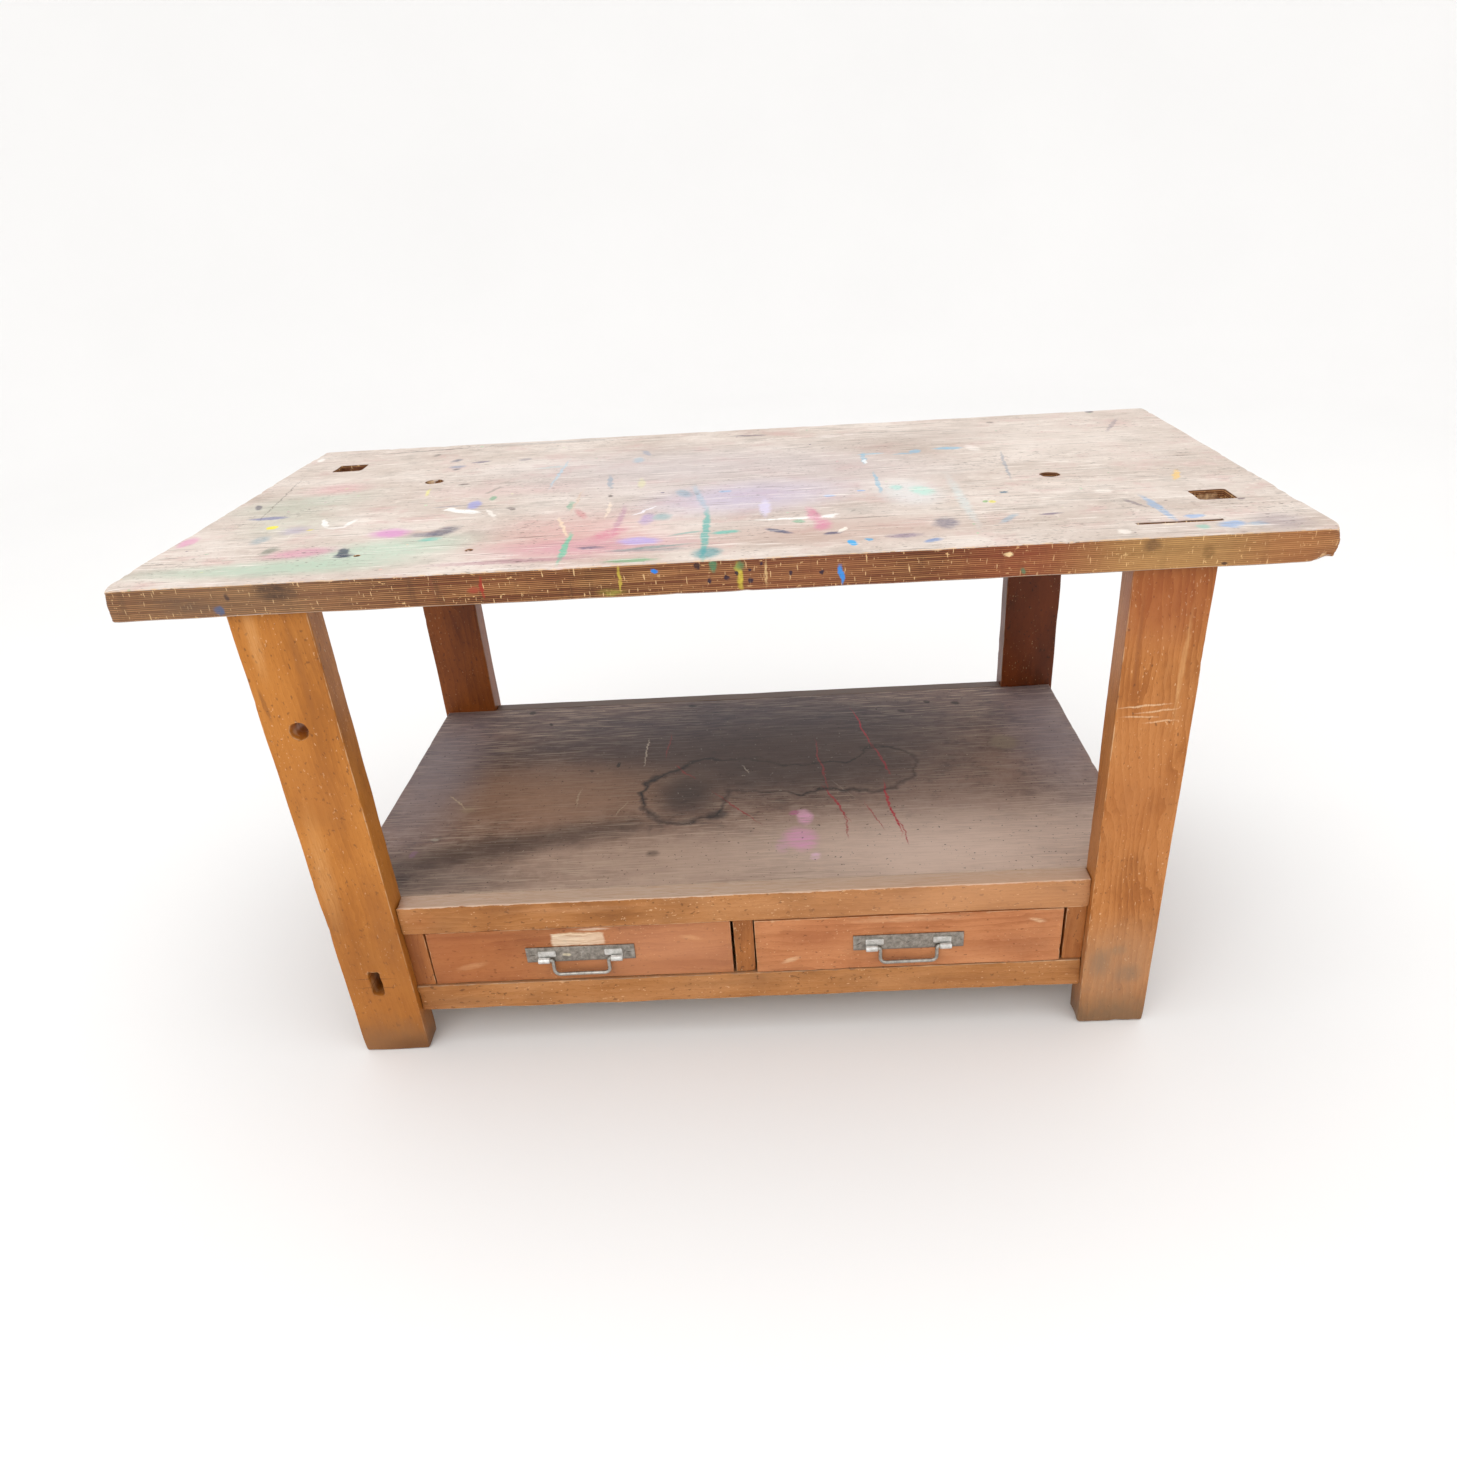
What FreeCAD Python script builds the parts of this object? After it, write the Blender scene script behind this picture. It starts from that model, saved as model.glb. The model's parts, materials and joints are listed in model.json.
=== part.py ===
"""A school workshop bench: a thick plywood top on four plank legs, with a shelf and two drawers below.

The frame stands on the floor at Z 0 with its origin under the middle of the top. +X runs along the
bench to the right, +Y runs away from the drawer side and +Z is up. Every size is in millimetres.
"""
import FreeCAD, Part
import math
import os
import re

import Sketcher
from FreeCAD import Vector

# Each driving dimension: its name in the sheet, its value and what it sets.
SIZES = [
    ("top_length", 1500, "length of the worktop"),
    ("top_width", 764, "front to back size of the worktop"),
    ("top_thickness", 41, "thickness of the glued plywood slab"),
    ("top_corner_radius", 10, "rounding of the slab's corners in plan"),
    ("bench_height", 780, "floor to working surface"),
    ("end_overhang", 136, "slab end beyond the legs' outer faces"),
    ("side_overhang", 18, "slab side beyond the legs' front faces"),
    ("leg_width", 102, "leg size along the bench"),
    ("leg_depth", 44, "leg size across the bench"),
    ("leg_foot_chamfer", 4, "bevel that keeps a dragged foot from splitting"),
    ("leg_tenon_width", 60, "stub tenon that locates the slab on a leg"),
    ("leg_tenon_thickness", 22, "thickness of that stub tenon"),
    ("leg_tenon_height", 20, "reach of that stub tenon into the slab"),
    ("screw_hole_radius", 12.5, "leg vice screw hole"),
    ("screw_hole_height", 570, "height of the vice screw hole"),
    ("vice_offset", 4, "vice holes outward of the leg's centre line"),
    ("guide_mortise_width", 17, "mortise for the leg vice's parallel guide"),
    ("guide_mortise_height", 45, "height of that mortise"),
    ("guide_mortise_centre", 136, "height of that mortise's centre"),
    ("stop_size", 48, "square hole for a planing stop"),
    ("left_stop_along", -653, "left stop hole's centre along the bench"),
    ("left_stop_across", 236, "left stop hole's centre across the bench"),
    ("right_stop_along", 657, "right stop hole's centre along the bench"),
    ("right_stop_across", -208, "right stop hole's centre across the bench"),
    ("holdfast_radius", 14, "round holes for a holdfast"),
    ("left_holdfast_along", -470, "left holdfast hole along the bench"),
    ("left_holdfast_across", 103, "left holdfast hole across the bench"),
    ("right_holdfast_along", 478, "right holdfast hole along the bench"),
    ("right_holdfast_across", -59, "right holdfast hole across the bench"),
    ("bearer_width", 44, "cross bearer under the slab"),
    ("bearer_height", 42, "height of that bearer"),
    ("bearer_tenon", 16, "thickness of the bearer's tenons"),
    ("tenon_reach", 30, "reach of a bearer's or rail's tenon"),
    ("tenon_shoulder", 8, "shoulder above and below a tenon"),
    ("rail_tenon", 12, "thickness of the rails' and side boards' tenons"),
    ("rail_setback", 12, "front rails behind the legs' front faces"),
    ("rear_setback", 18, "rear rails inside the legs' rear faces"),
    ("top_rail_height", 49.5, "rail above the drawers"),
    ("bottom_rail_height", 48, "rail below the drawers"),
    ("bottom_rail_lift", 69.5, "floor to the bottom rail"),
    ("shelf_height", 267, "floor to the shelf's surface"),
    ("shelf_thickness", 20, "thickness of the shelf panel"),
    ("side_board_thickness", 22, "boards that close the case's ends"),
    ("side_inset", 6, "side boards inside the legs' outer faces"),
    ("side_tenon_reach", 25, "reach of the side boards' tenons"),
    ("side_tenon_shoulder", 25, "shoulder above and below those tenons"),
    ("stile_width", 30, "uprights beside and between the drawers"),
    ("stile_setback", 4, "stiles behind the rails' faces"),
    ("stile_tenon", 10, "thickness and reach of the stiles' stub tenons"),
    ("stile_shoulder", 5, "shoulders beside those stub tenons"),
    ("rear_panel_thickness", 12, "plywood panel between the rear rails"),
    ("rear_panel_groove", 8, "depth of the grooves that hold it"),
    ("cleat_size", 20, "square battens that carry the shelf's long edges"),
    ("runner_thickness", 18, "battens that the drawers slide on"),
    ("runner_inner_width", 30, "runner beside the divider"),
    ("runner_under_drawer", 27, "outer runner inside the opening's edge"),
    ("runner_beyond_drawer", 43, "outer runner beyond the opening's edge"),
    ("guide_width", 22, "strip that guides a drawer's outer side"),
    ("guide_height", 25, "height of that strip"),
    ("kicker_thickness", 17, "battens that stop an open drawer tipping"),
    ("bolt_radius", 5, "coach bolts that hold the slab down"),
    ("bolt_clearance", 0.25, "room around those bolts"),
    ("bolt_bite", 24, "reach of the bolts into the slab"),
    ("bolt_spacing", 300, "distance between a bearer's two bolts"),
    ("bolt_head_radius", 9.8, "hexagon head across its corners, halved"),
    ("bolt_head_height", 6.5, "thickness of that head"),
    ("washer_radius", 12.5, "washer under the head"),
    ("washer_thickness", 2, "thickness of the washer"),
    ("drawer_front_width", 461, "width of a drawer front"),
    ("drawer_front_height", 97.5, "height of a drawer front"),
    ("drawer_front_thickness", 20, "thickness of a drawer front"),
    ("drawer_gap_left", 1.8, "gap at the left of a drawer front"),
    ("drawer_gap_below", 0.3, "gap under a drawer"),
    ("left_drawer_recess", 4, "left drawer front behind the rails' faces"),
    ("right_drawer_recess", 0.5, "right drawer front behind the rails' faces"),
    ("drawer_length", 600, "front to back size of a drawer"),
    ("stop_block_length", 25, "block that stops a drawer when it is shut"),
    ("stop_block_height", 20, "height of that block"),
    ("drawer_side_height", 88, "height of a drawer side"),
    ("drawer_side_thickness", 12, "thickness of drawer sides and backs"),
    ("drawer_lap", 8, "front wood left in front of the dovetails"),
    ("tail_pitch", 28, "distance between dovetails"),
    ("tail_half_width", 11, "half a dovetail's width at its end"),
    ("tail_half_neck", 8.5, "half a dovetail's width at its root"),
    ("drawer_bottom_thickness", 5, "plywood drawer bottom"),
    ("drawer_bottom_lift", 8, "drawer bottom above the sides' lower edges"),
    ("drawer_groove", 5, "depth of the grooves that hold it"),
    ("plate_length", 166, "handle plate along the drawer"),
    ("plate_height", 27, "height of the handle plate"),
    ("plate_thickness", 2.5, "thickness of the handle plate"),
    ("plate_centre_height", 168, "height of the handle plate's centre"),
    ("plate_corner_radius", 1.5, "rounding of the plate's corners"),
    ("knuckle_width", 27, "strap folded round the bail's end"),
    ("knuckle_centre", 50.7, "strap's centre from the plate's centre"),
    ("knuckle_radius", 4.83, "outside of the folded strap"),
    ("knuckle_bore", 2.83, "inside of the folded strap"),
    ("knuckle_tail", 15, "strap's flat tail above the bail's axis"),
    ("knuckle_slot", 9.5, "cut-out that lets the bail swing"),
    ("knuckle_slot_rise", 3.3, "top of that cut-out above the bail's axis"),
    ("bail_drop", 7, "bail's axis below the plate's centre"),
    ("bail_wire_radius", 2.75, "radius of the bail's wire"),
    ("bail_half_width", 42.5, "bail's legs from the handle's centre"),
    ("bail_pin_end", 62, "bail's pin ends from the handle's centre"),
    ("bail_hang", 27, "bail's grip below its axis"),
    ("bail_grip_bend", 8, "bend radius at the grip"),
    ("bail_pin_bend", 3.5, "bend radius at the pins"),
    ("handle_screw_spacing", 74, "end screws from the plate's centre"),
    ("handle_screw_head", 4, "radius of a countersunk head"),
    ("handle_screw_shank", 2, "radius of a screw's shank"),
    ("handle_screw_length", 17, "length of a handle screw"),
    ("handle_screw_slot", 1, "width and depth of the driver slot"),
]

doc = FreeCAD.newDocument("workbench")
sheet = doc.addObject("Spreadsheet::Sheet", "sizes")
for row, (alias, number, note) in enumerate(SIZES, start=1):
    sheet.set("A%d" % row, alias)
    sheet.set("B%d" % row, str(number))
    sheet.set("C%d" % row, note)
    sheet.setAlias("B%d" % row, alias)
doc.recompute()

ALIASES = re.compile(r"\b(%s)\b" % "|".join(alias for alias, _, _ in SIZES))


def bound(words):
    """An expression written with bare size names, as FreeCAD wants it."""
    return ALIASES.sub(r"sizes.\1", words)


def size(alias):
    """A driving dimension's number."""
    return float(sheet.get(alias))


# Places that several pieces share, as expressions. Those named X or Y are distances from the middle.
LEG_OUT_X = "(top_length / 2 - end_overhang)"
LEG_IN_X = "(%s - leg_width)" % LEG_OUT_X
LEG_MID_X = "(%s - leg_width / 2)" % LEG_OUT_X
SIDE_OUT_X = "(%s - side_inset)" % LEG_OUT_X
SIDE_IN_X = "(%s - side_board_thickness)" % SIDE_OUT_X
SIDE_MID_X = "(%s - side_board_thickness / 2)" % SIDE_OUT_X
OPENING_OUT_X = "(%s - stile_width)" % LEG_IN_X
OPENING_IN_X = "(stile_width / 2)"
FRAME_OUT_Y = "(top_width / 2 - side_overhang)"
FRAME_IN_Y = "(%s - leg_depth)" % FRAME_OUT_Y
FRAME_MID_Y = "(%s - leg_depth / 2)" % FRAME_OUT_Y
RAIL_OUT_Y = "(%s - rail_setback)" % FRAME_OUT_Y
REAR_OUT_Y = "(%s - rear_setback)" % FRAME_OUT_Y
TOP_UNDER_Z = "(bench_height - top_thickness)"
SHELF_UNDER_Z = "(shelf_height - shelf_thickness)"
CLEAT_UNDER_Z = "(%s - cleat_size)" % SHELF_UNDER_Z
OPENING_TOP_Z = "(shelf_height - top_rail_height)"
OPENING_LOW_Z = "(bottom_rail_lift + bottom_rail_height)"
DRAWER_LOW_Z = "(%s + drawer_gap_below)" % OPENING_LOW_Z

LEFT, RIGHT, FRONT, REAR = -1, 1, -1, 1
SIDE_NAMES = {LEFT: "left", RIGHT: "right"}
nodes = []


def toward(sign, near, far):
    """The span from near to far on one side of the middle, lower end first."""
    return (near, far) if sign > 0 else ("-(%s)" % far, "-(%s)" % near)


def about(middle, half):
    """The span that reaches half each way from the middle."""
    return ("(%s) - (%s)" % (middle, half), "(%s) + (%s)" % (middle, half))


def both(reach):
    """The span from minus reach to plus reach."""
    return ("-(%s)" % reach, reach)


def place(item, x, y, z):
    """Binds an object's position to three expressions."""
    for axis, words in zip("xyz", (x, y, z)):
        item.setExpression("Placement.Base.%s" % axis, bound(words))


def node(item, label):
    """Keeps an object as a sub-part under that name."""
    item.Label = label
    nodes.append(item)
    return item


def box(name, x, y, z):
    """A rectangular block between three spans."""
    item = doc.addObject("Part::Box", name)
    for prop, (low, high) in zip(("Length", "Width", "Height"), (x, y, z)):
        item.setExpression(prop, bound("(%s) - (%s)" % (high, low)))
    place(item, x[0], y[0], z[0])
    return item


def cylinder(name, radius, length, x, y, z, direction=Vector(0, 0, 1)):
    """A cylinder that starts at a point and runs in a direction."""
    item = doc.addObject("Part::Cylinder", name)
    item.setExpression("Radius", bound(radius))
    item.setExpression("Height", bound(length))
    item.Placement = FreeCAD.Placement(Vector(), FreeCAD.Rotation(Vector(0, 0, 1), direction))
    place(item, x, y, z)
    return item


def fused(name, *items):
    """One solid made of several that touch or overlap."""
    item = doc.addObject("Part::MultiFuse", name)
    item.Shapes = list(items)
    item.Refine = True
    return item


def cut(name, base, *tools):
    """The base with every tool taken out of it."""
    item = doc.addObject("Part::Cut", name)
    item.Base = base
    item.Tool = tools[0] if len(tools) == 1 else fused(name + "_tools", *tools)
    item.Refine = True
    return item


def plane_of(body, role):
    """One of a body's own origin planes."""
    return next(item for item in body.Origin.OriginFeatures if item.Role == role)


def sketch_in(body, name, role):
    """An empty sketch on one of a body's origin planes."""
    sketch = body.newObject("Sketcher::SketchObject", name)
    sketch.AttachmentSupport = [(plane_of(body, role), "")]
    sketch.MapMode = "FlatFace"
    return sketch


def dimension(sketch, kind, *arguments):
    """Adds a constraint whose value is the last argument, an expression, and binds it."""
    words = arguments[-1]
    start = float(doc_value(words))
    index = sketch.addConstraint(Sketcher.Constraint(kind, *arguments[:-1], start))
    sketch.setExpression("Constraints[%d]" % index, bound(words))


def doc_value(words):
    """An expression's value with the sheet's present numbers."""
    result = sheet.evalExpression(bound(words))
    return getattr(result, "Value", result)


def rectangle(sketch, x, y):
    """A rectangle between two spans, tied to the sketch's origin."""
    x0, x1, y0, y1 = (doc_value(words) for words in (*x, *y))
    corners = [Vector(x0, y0), Vector(x1, y0), Vector(x1, y1), Vector(x0, y1)]
    first = sketch.GeometryCount
    for start, end in zip(corners, corners[1:] + corners[:1]):
        sketch.addGeometry(Part.LineSegment(start, end))
    for step in range(4):
        sketch.addConstraint(Sketcher.Constraint("Coincident", first + step, 2, first + (step + 1) % 4, 1))
    for step, kind in enumerate(("Horizontal", "Vertical", "Horizontal", "Vertical")):
        sketch.addConstraint(Sketcher.Constraint(kind, first + step))
    dimension(sketch, "DistanceX", -1, 1, first, 1, x[0])
    dimension(sketch, "DistanceY", -1, 1, first, 1, y[0])
    dimension(sketch, "DistanceX", first, 1, first, 2, "(%s) - (%s)" % (x[1], x[0]))
    dimension(sketch, "DistanceY", first + 1, 1, first + 1, 2, "(%s) - (%s)" % (y[1], y[0]))


def circle(sketch, x, y, radius):
    """A circle with its centre and radius tied to the sheet."""
    centre = Vector(doc_value(x), doc_value(y), 0)
    index = sketch.addGeometry(Part.Circle(centre, Vector(0, 0, 1), doc_value(radius)))
    dimension(sketch, "DistanceX", -1, 1, index, 3, x)
    dimension(sketch, "DistanceY", -1, 1, index, 3, y)
    dimension(sketch, "Radius", index, radius)


def pad(body, sketch, name, length):
    """Raises a sketch into a solid."""
    item = body.newObject("PartDesign::Pad", name)
    item.Profile = sketch
    item.setExpression("Length", bound(length))
    return item


def pocket(body, sketch, name, depth):
    """Cuts a sketch up into the pad that stands on its plane; no depth cuts right through."""
    item = body.newObject("PartDesign::Pocket", name)
    item.Profile = sketch
    item.Reversed = True
    if depth is None:
        item.Type = "ThroughAll"
    else:
        item.setExpression("Length", bound(depth))
    return item


def round_uprights(body, feature, name, radius):
    """Rounds the four corner edges that run along a pad's height."""
    doc.recompute()
    edges = [
        "Edge%d" % (number + 1)
        for number, edge in enumerate(feature.Shape.Edges)
        if abs(edge.tangentAt(edge.FirstParameter).dot(pad_direction(feature))) > 0.99
    ]
    item = body.newObject("PartDesign::Fillet", name)
    item.Base = (feature, edges)
    item.setExpression("Radius", bound(radius))
    return item


def pad_direction(feature):
    """The way a pad grew from its sketch."""
    return feature.Profile[0].Placement.Rotation.multVec(Vector(0, 0, 1))


def bolt_places():
    """Where the four coach bolts stand, as pairs of expressions."""
    return [
        ("%d * %s" % (side, LEG_MID_X), "%d * bolt_spacing / 2" % along)
        for side in (LEFT, RIGHT)
        for along in (FRONT, REAR)
    ]


def make_worktop():
    """The slab, with its stop and holdfast holes, and the leg mortises and bolt holes below."""
    body = doc.addObject("PartDesign::Body", "worktop_body")
    outline = sketch_in(body, "worktop_outline", "XY_Plane")
    rectangle(outline, both("top_length / 2"), both("top_width / 2"))
    slab = pad(body, outline, "worktop_slab", "top_thickness")
    round_uprights(body, slab, "worktop_corners", "top_corner_radius")

    stops = sketch_in(body, "planing_stop_holes", "XY_Plane")
    for side in ("left", "right"):
        along, across = (about(side + way, "stop_size / 2") for way in ("_stop_along", "_stop_across"))
        rectangle(stops, along, across)
    pocket(body, stops, "planing_stop_cuts", None)

    holdfasts = sketch_in(body, "holdfast_holes", "XY_Plane")
    for side in ("left", "right"):
        circle(holdfasts, side + "_holdfast_along", side + "_holdfast_across", "holdfast_radius")
    pocket(body, holdfasts, "holdfast_cuts", None)

    mortises = sketch_in(body, "leg_mortises", "XY_Plane")
    for side in (LEFT, RIGHT):
        for end in (FRONT, REAR):
            rectangle(
                mortises,
                about("%d * %s" % (side, LEG_MID_X), "leg_tenon_width / 2"),
                about("%d * %s" % (end, FRAME_MID_Y), "leg_tenon_thickness / 2"),
            )
    pocket(body, mortises, "leg_mortise_cuts", "leg_tenon_height")

    holes = sketch_in(body, "bolt_holes", "XY_Plane")
    for along, across in bolt_places():
        circle(holes, along, across, "bolt_radius + bolt_clearance")
    pocket(body, holes, "bolt_hole_cuts", "bolt_bite + 1")
    place(body, "0", "0", TOP_UNDER_Z)
    node(body, "worktop")


def rail_tenon_spans(end, low, high):
    """The tenon region of a front or rear rail: across the bench and up."""
    outer = RAIL_OUT_Y if end == FRONT else REAR_OUT_Y
    middle = "(%s + %s) / 2" % (outer, FRAME_IN_Y)
    across = toward(end, *about(middle, "rail_tenon / 2"))
    return across, ("%s + tenon_shoulder" % low, "%s - tenon_shoulder" % high)


def side_tenon_rise():
    """The height span of the side boards' tenons."""
    return ("bottom_rail_lift + side_tenon_shoulder", "%s - side_tenon_shoulder" % SHELF_UNDER_Z)


def bearer_tenon_rise():
    """The height span of the bearers' tenons."""
    return ("%s - bearer_height + tenon_shoulder" % TOP_UNDER_Z, "%s - tenon_shoulder" % TOP_UNDER_Z)


def make_leg(label, side, end):
    """A plank leg with its stub tenon on top and the mortises that its rails need."""
    across = toward(end, FRAME_IN_Y, FRAME_OUT_Y)
    post = box(label + "_post", toward(side, LEG_IN_X, LEG_OUT_X), across, ("0", TOP_UNDER_Z))
    foot = doc.addObject("Part::Chamfer", label + "_foot")
    foot.Base = post
    doc.recompute()
    bevel = size("leg_foot_chamfer")
    foot.Edges = [
        (number + 1, bevel, bevel)
        for number, edge in enumerate(post.Shape.Edges)
        if edge.BoundBox.ZMax < 1e-6
    ]
    stub = box(
        label + "_stub",
        toward(side, *about(LEG_MID_X, "leg_tenon_width / 2")),
        toward(end, *about(FRAME_MID_Y, "leg_tenon_thickness / 2")),
        (TOP_UNDER_Z, "%s + leg_tenon_height" % TOP_UNDER_Z),
    )
    inward = toward(side, LEG_IN_X, "%s + tenon_reach" % LEG_IN_X)
    tools = [
        box(label + "_" + which, inward, *rail_tenon_spans(end, low, high))
        for which, low, high in (
            ("top_rail_mortise", OPENING_TOP_Z, "shelf_height"),
            ("bottom_rail_mortise", "bottom_rail_lift", OPENING_LOW_Z),
        )
    ]
    tools.append(
        box(
            label + "_side_mortise",
            toward(side, *about(SIDE_MID_X, "rail_tenon / 2")),
            toward(end, FRAME_IN_Y, "%s + side_tenon_reach" % FRAME_IN_Y),
            side_tenon_rise(),
        )
    )
    tools.append(
        box(
            label + "_bearer_mortise",
            toward(side, *about(LEG_MID_X, "bearer_tenon / 2")),
            toward(end, FRAME_IN_Y, "%s + tenon_reach" % FRAME_IN_Y),
            bearer_tenon_rise(),
        )
    )
    if (side, end) == (LEFT, FRONT):
        centre = "-(%s + vice_offset)" % LEG_MID_X
        tools.append(
            cylinder(
                label + "_screw_hole", "screw_hole_radius", "leg_depth + 2", centre,
                "-(%s) + 1" % FRAME_IN_Y, "screw_hole_height", Vector(0, -1, 0),
            )
        )
        tools.append(
            box(
                label + "_guide_mortise",
                about(centre, "guide_mortise_width / 2"),
                across,
                about("guide_mortise_centre", "guide_mortise_height / 2"),
            )
        )
    node(cut(label + "_cut", fused(label + "_whole", foot, stub), *tools), label)


def make_bearer(side):
    """The cross bearer that joins two legs under the slab, tenoned into both."""
    label = SIDE_NAMES[side] + "_bearer"
    batten = box(
        label + "_batten",
        toward(side, *about(LEG_MID_X, "bearer_width / 2")),
        both(FRAME_IN_Y),
        ("%s - bearer_height" % TOP_UNDER_Z, TOP_UNDER_Z),
    )
    tenon = box(
        label + "_tenon",
        toward(side, *about(LEG_MID_X, "bearer_tenon / 2")),
        both("%s + tenon_reach" % FRAME_IN_Y),
        bearer_tenon_rise(),
    )
    holes = [
        cylinder(
            "%s_bolt_hole_%d" % (label, number), "bolt_radius + bolt_clearance", "bearer_height + 2",
            along, across, "%s - bearer_height - 1" % TOP_UNDER_Z,
        )
        for number, (along, across) in enumerate(bolt_places())
        if along.startswith("-") == (side == LEFT)
    ]
    node(cut(label + "_cut", fused(label + "_whole", batten, tenon), *holes), label)


def make_side_board(side):
    """The board that closes one end of the drawer case, tenoned into two legs."""
    label = SIDE_NAMES[side] + "_side_board"
    board = box(
        label + "_board",
        toward(side, SIDE_IN_X, SIDE_OUT_X),
        both(FRAME_IN_Y),
        ("bottom_rail_lift", SHELF_UNDER_Z),
    )
    tenon = box(
        label + "_tenon",
        toward(side, *about(SIDE_MID_X, "rail_tenon / 2")),
        both("%s + side_tenon_reach" % FRAME_IN_Y),
        side_tenon_rise(),
    )
    node(fused(label + "_whole", board, tenon), label)


def stile_spans():
    """Each front stile's name and its span along the bench."""
    return {
        "left_stile": toward(LEFT, OPENING_OUT_X, LEG_IN_X),
        "centre_stile": both("stile_width / 2"),
        "right_stile": toward(RIGHT, OPENING_OUT_X, LEG_IN_X),
    }


def stile_tenon_box(name, along):
    """The block that holds both stub tenons of a stile."""
    middle = "(%s - stile_setback + %s) / 2" % (RAIL_OUT_Y, FRAME_IN_Y)
    return box(
        name,
        ("%s + stile_shoulder" % along[0], "%s - stile_shoulder" % along[1]),
        toward(FRONT, *about(middle, "stile_tenon / 2")),
        ("%s - stile_tenon" % OPENING_LOW_Z, "%s + stile_tenon" % OPENING_TOP_Z),
    )


def make_stiles():
    """The three uprights that frame the drawers."""
    for label, along in stile_spans().items():
        upright = box(
            label + "_upright",
            along,
            toward(FRONT, FRAME_IN_Y, "%s - stile_setback" % RAIL_OUT_Y),
            (OPENING_LOW_Z, OPENING_TOP_Z),
        )
        node(fused(label + "_whole", upright, stile_tenon_box(label + "_tenon", along)), label)


def rear_panel_box(name):
    """The rear panel's block, which also cuts the grooves that hold it."""
    middle = "(%s + %s) / 2" % (REAR_OUT_Y, FRAME_IN_Y)
    return box(
        name,
        both(LEG_IN_X),
        about(middle, "rear_panel_thickness / 2"),
        ("%s - rear_panel_groove" % OPENING_LOW_Z, "%s + rear_panel_groove" % OPENING_TOP_Z),
    )


def make_rails():
    """The rails above and below the drawers and their partners at the rear."""
    levels = (("top_rail", OPENING_TOP_Z, "shelf_height"), ("bottom_rail", "bottom_rail_lift", OPENING_LOW_Z))
    for end, end_name, outer in ((FRONT, "front", RAIL_OUT_Y), (REAR, "rear", REAR_OUT_Y)):
        for which, low, high in levels:
            label = "%s_%s" % (end_name, which)
            bar = box(label + "_bar", both(LEG_IN_X), toward(end, FRAME_IN_Y, outer), (low, high))
            reach = both("%s + tenon_reach" % LEG_IN_X)
            tenon = box(label + "_tenon", reach, *rail_tenon_spans(end, low, high))
            if end == FRONT:
                tools = [
                    stile_tenon_box("%s_%s_mortise" % (label, name), along)
                    for name, along in stile_spans().items()
                ]
            else:
                tools = [rear_panel_box(label + "_groove")]
            node(cut(label + "_cut", fused(label + "_whole", bar, tenon), *tools), label)


def make_case_inside():
    """The shelf, the rear panel and the battens that carry and guide the drawers."""
    node(box("shelf", both(SIDE_OUT_X), both(FRAME_IN_Y), (SHELF_UNDER_Z, "shelf_height")), "shelf_panel")
    node(rear_panel_box("rear_board"), "rear_panel")
    edge = toward(REAR, "%s - cleat_size" % FRAME_IN_Y, FRAME_IN_Y)
    rise = (CLEAT_UNDER_Z, SHELF_UNDER_Z)
    node(box("rear_cleat", both(SIDE_IN_X), edge, rise), "rear_shelf_cleat")
    edge = toward(FRONT, "%s - cleat_size" % FRAME_IN_Y, FRAME_IN_Y)
    node(box("front_cleat", both(SIDE_IN_X), edge, rise), "front_shelf_cleat")
    node(
        box("divider", both("stile_width / 2"), both(FRAME_IN_Y), ("bottom_rail_lift", CLEAT_UNDER_Z)),
        "drawer_divider",
    )
    outer = ("%s - runner_under_drawer" % OPENING_OUT_X, "%s + runner_beyond_drawer" % OPENING_OUT_X)
    inner = (OPENING_IN_X, "%s + runner_inner_width" % OPENING_IN_X)
    run = both(FRAME_IN_Y)
    for side, name in SIDE_NAMES.items():
        for which, span in (("outer", outer), ("inner", inner)):
            label = "%s_%s" % (name, which)
            under = ("%s - runner_thickness" % OPENING_LOW_Z, OPENING_LOW_Z)
            node(box(label + "_run", toward(side, *span), run, under), label + "_runner")
            over = ("%s - kicker_thickness" % CLEAT_UNDER_Z, CLEAT_UNDER_Z)
            node(box(label + "_kick", toward(side, *span), run, over), label + "_kicker")
        beside = toward(side, OPENING_OUT_X, "%s + guide_width" % OPENING_OUT_X)
        up = (OPENING_LOW_Z, "%s + guide_height" % OPENING_LOW_Z)
        node(box(name + "_guide", beside, run, up), name + "_drawer_guide")


def make_slab_bolts():
    """The coach bolts and washers that hold the slab down on its bearers."""
    under = "(%s - bearer_height)" % TOP_UNDER_Z
    bolts, washers = [], []
    for number, (along, across) in enumerate(bolt_places()):
        shank = cylinder(
            "bolt_shank_%d" % number, "bolt_radius", "bearer_height + bolt_bite + washer_thickness",
            along, across, "%s - washer_thickness" % under,
        )
        head = doc.addObject("Part::Prism", "bolt_head_%d" % number)
        head.Polygon = 6
        head.setExpression("Circumradius", bound("bolt_head_radius"))
        head.setExpression("Height", bound("bolt_head_height"))
        place(head, along, across, "%s - washer_thickness - bolt_head_height" % under)
        bolts.append(fused("bolt_%d" % number, shank, head))
        ring = ("washer_thickness", along, across, "%s - washer_thickness" % under)
        disc = cylinder("washer_disc_%d" % number, "washer_radius", *ring)
        eye = cylinder("washer_eye_%d" % number, "bolt_radius + bolt_clearance", *ring)
        washers.append(cut("washer_%d" % number, disc, eye))
    for label, items in (("slab_bolts", bolts), ("slab_bolt_washers", washers)):
        group = doc.addObject("Part::Compound", label + "_group")
        group.Links = items
        node(group, label)


def drawer_face(side):
    """The place of a drawer's front face across the bench."""
    return "(-(%s) + %s_drawer_recess)" % (RAIL_OUT_Y, SIDE_NAMES[side])


def drawer_along(side):
    """The span of a drawer along the bench."""
    start = "(%s + drawer_gap_left)" % ("-(%s)" % OPENING_OUT_X if side == LEFT else OPENING_IN_X)
    return (start, "%s + drawer_front_width" % start)


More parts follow.
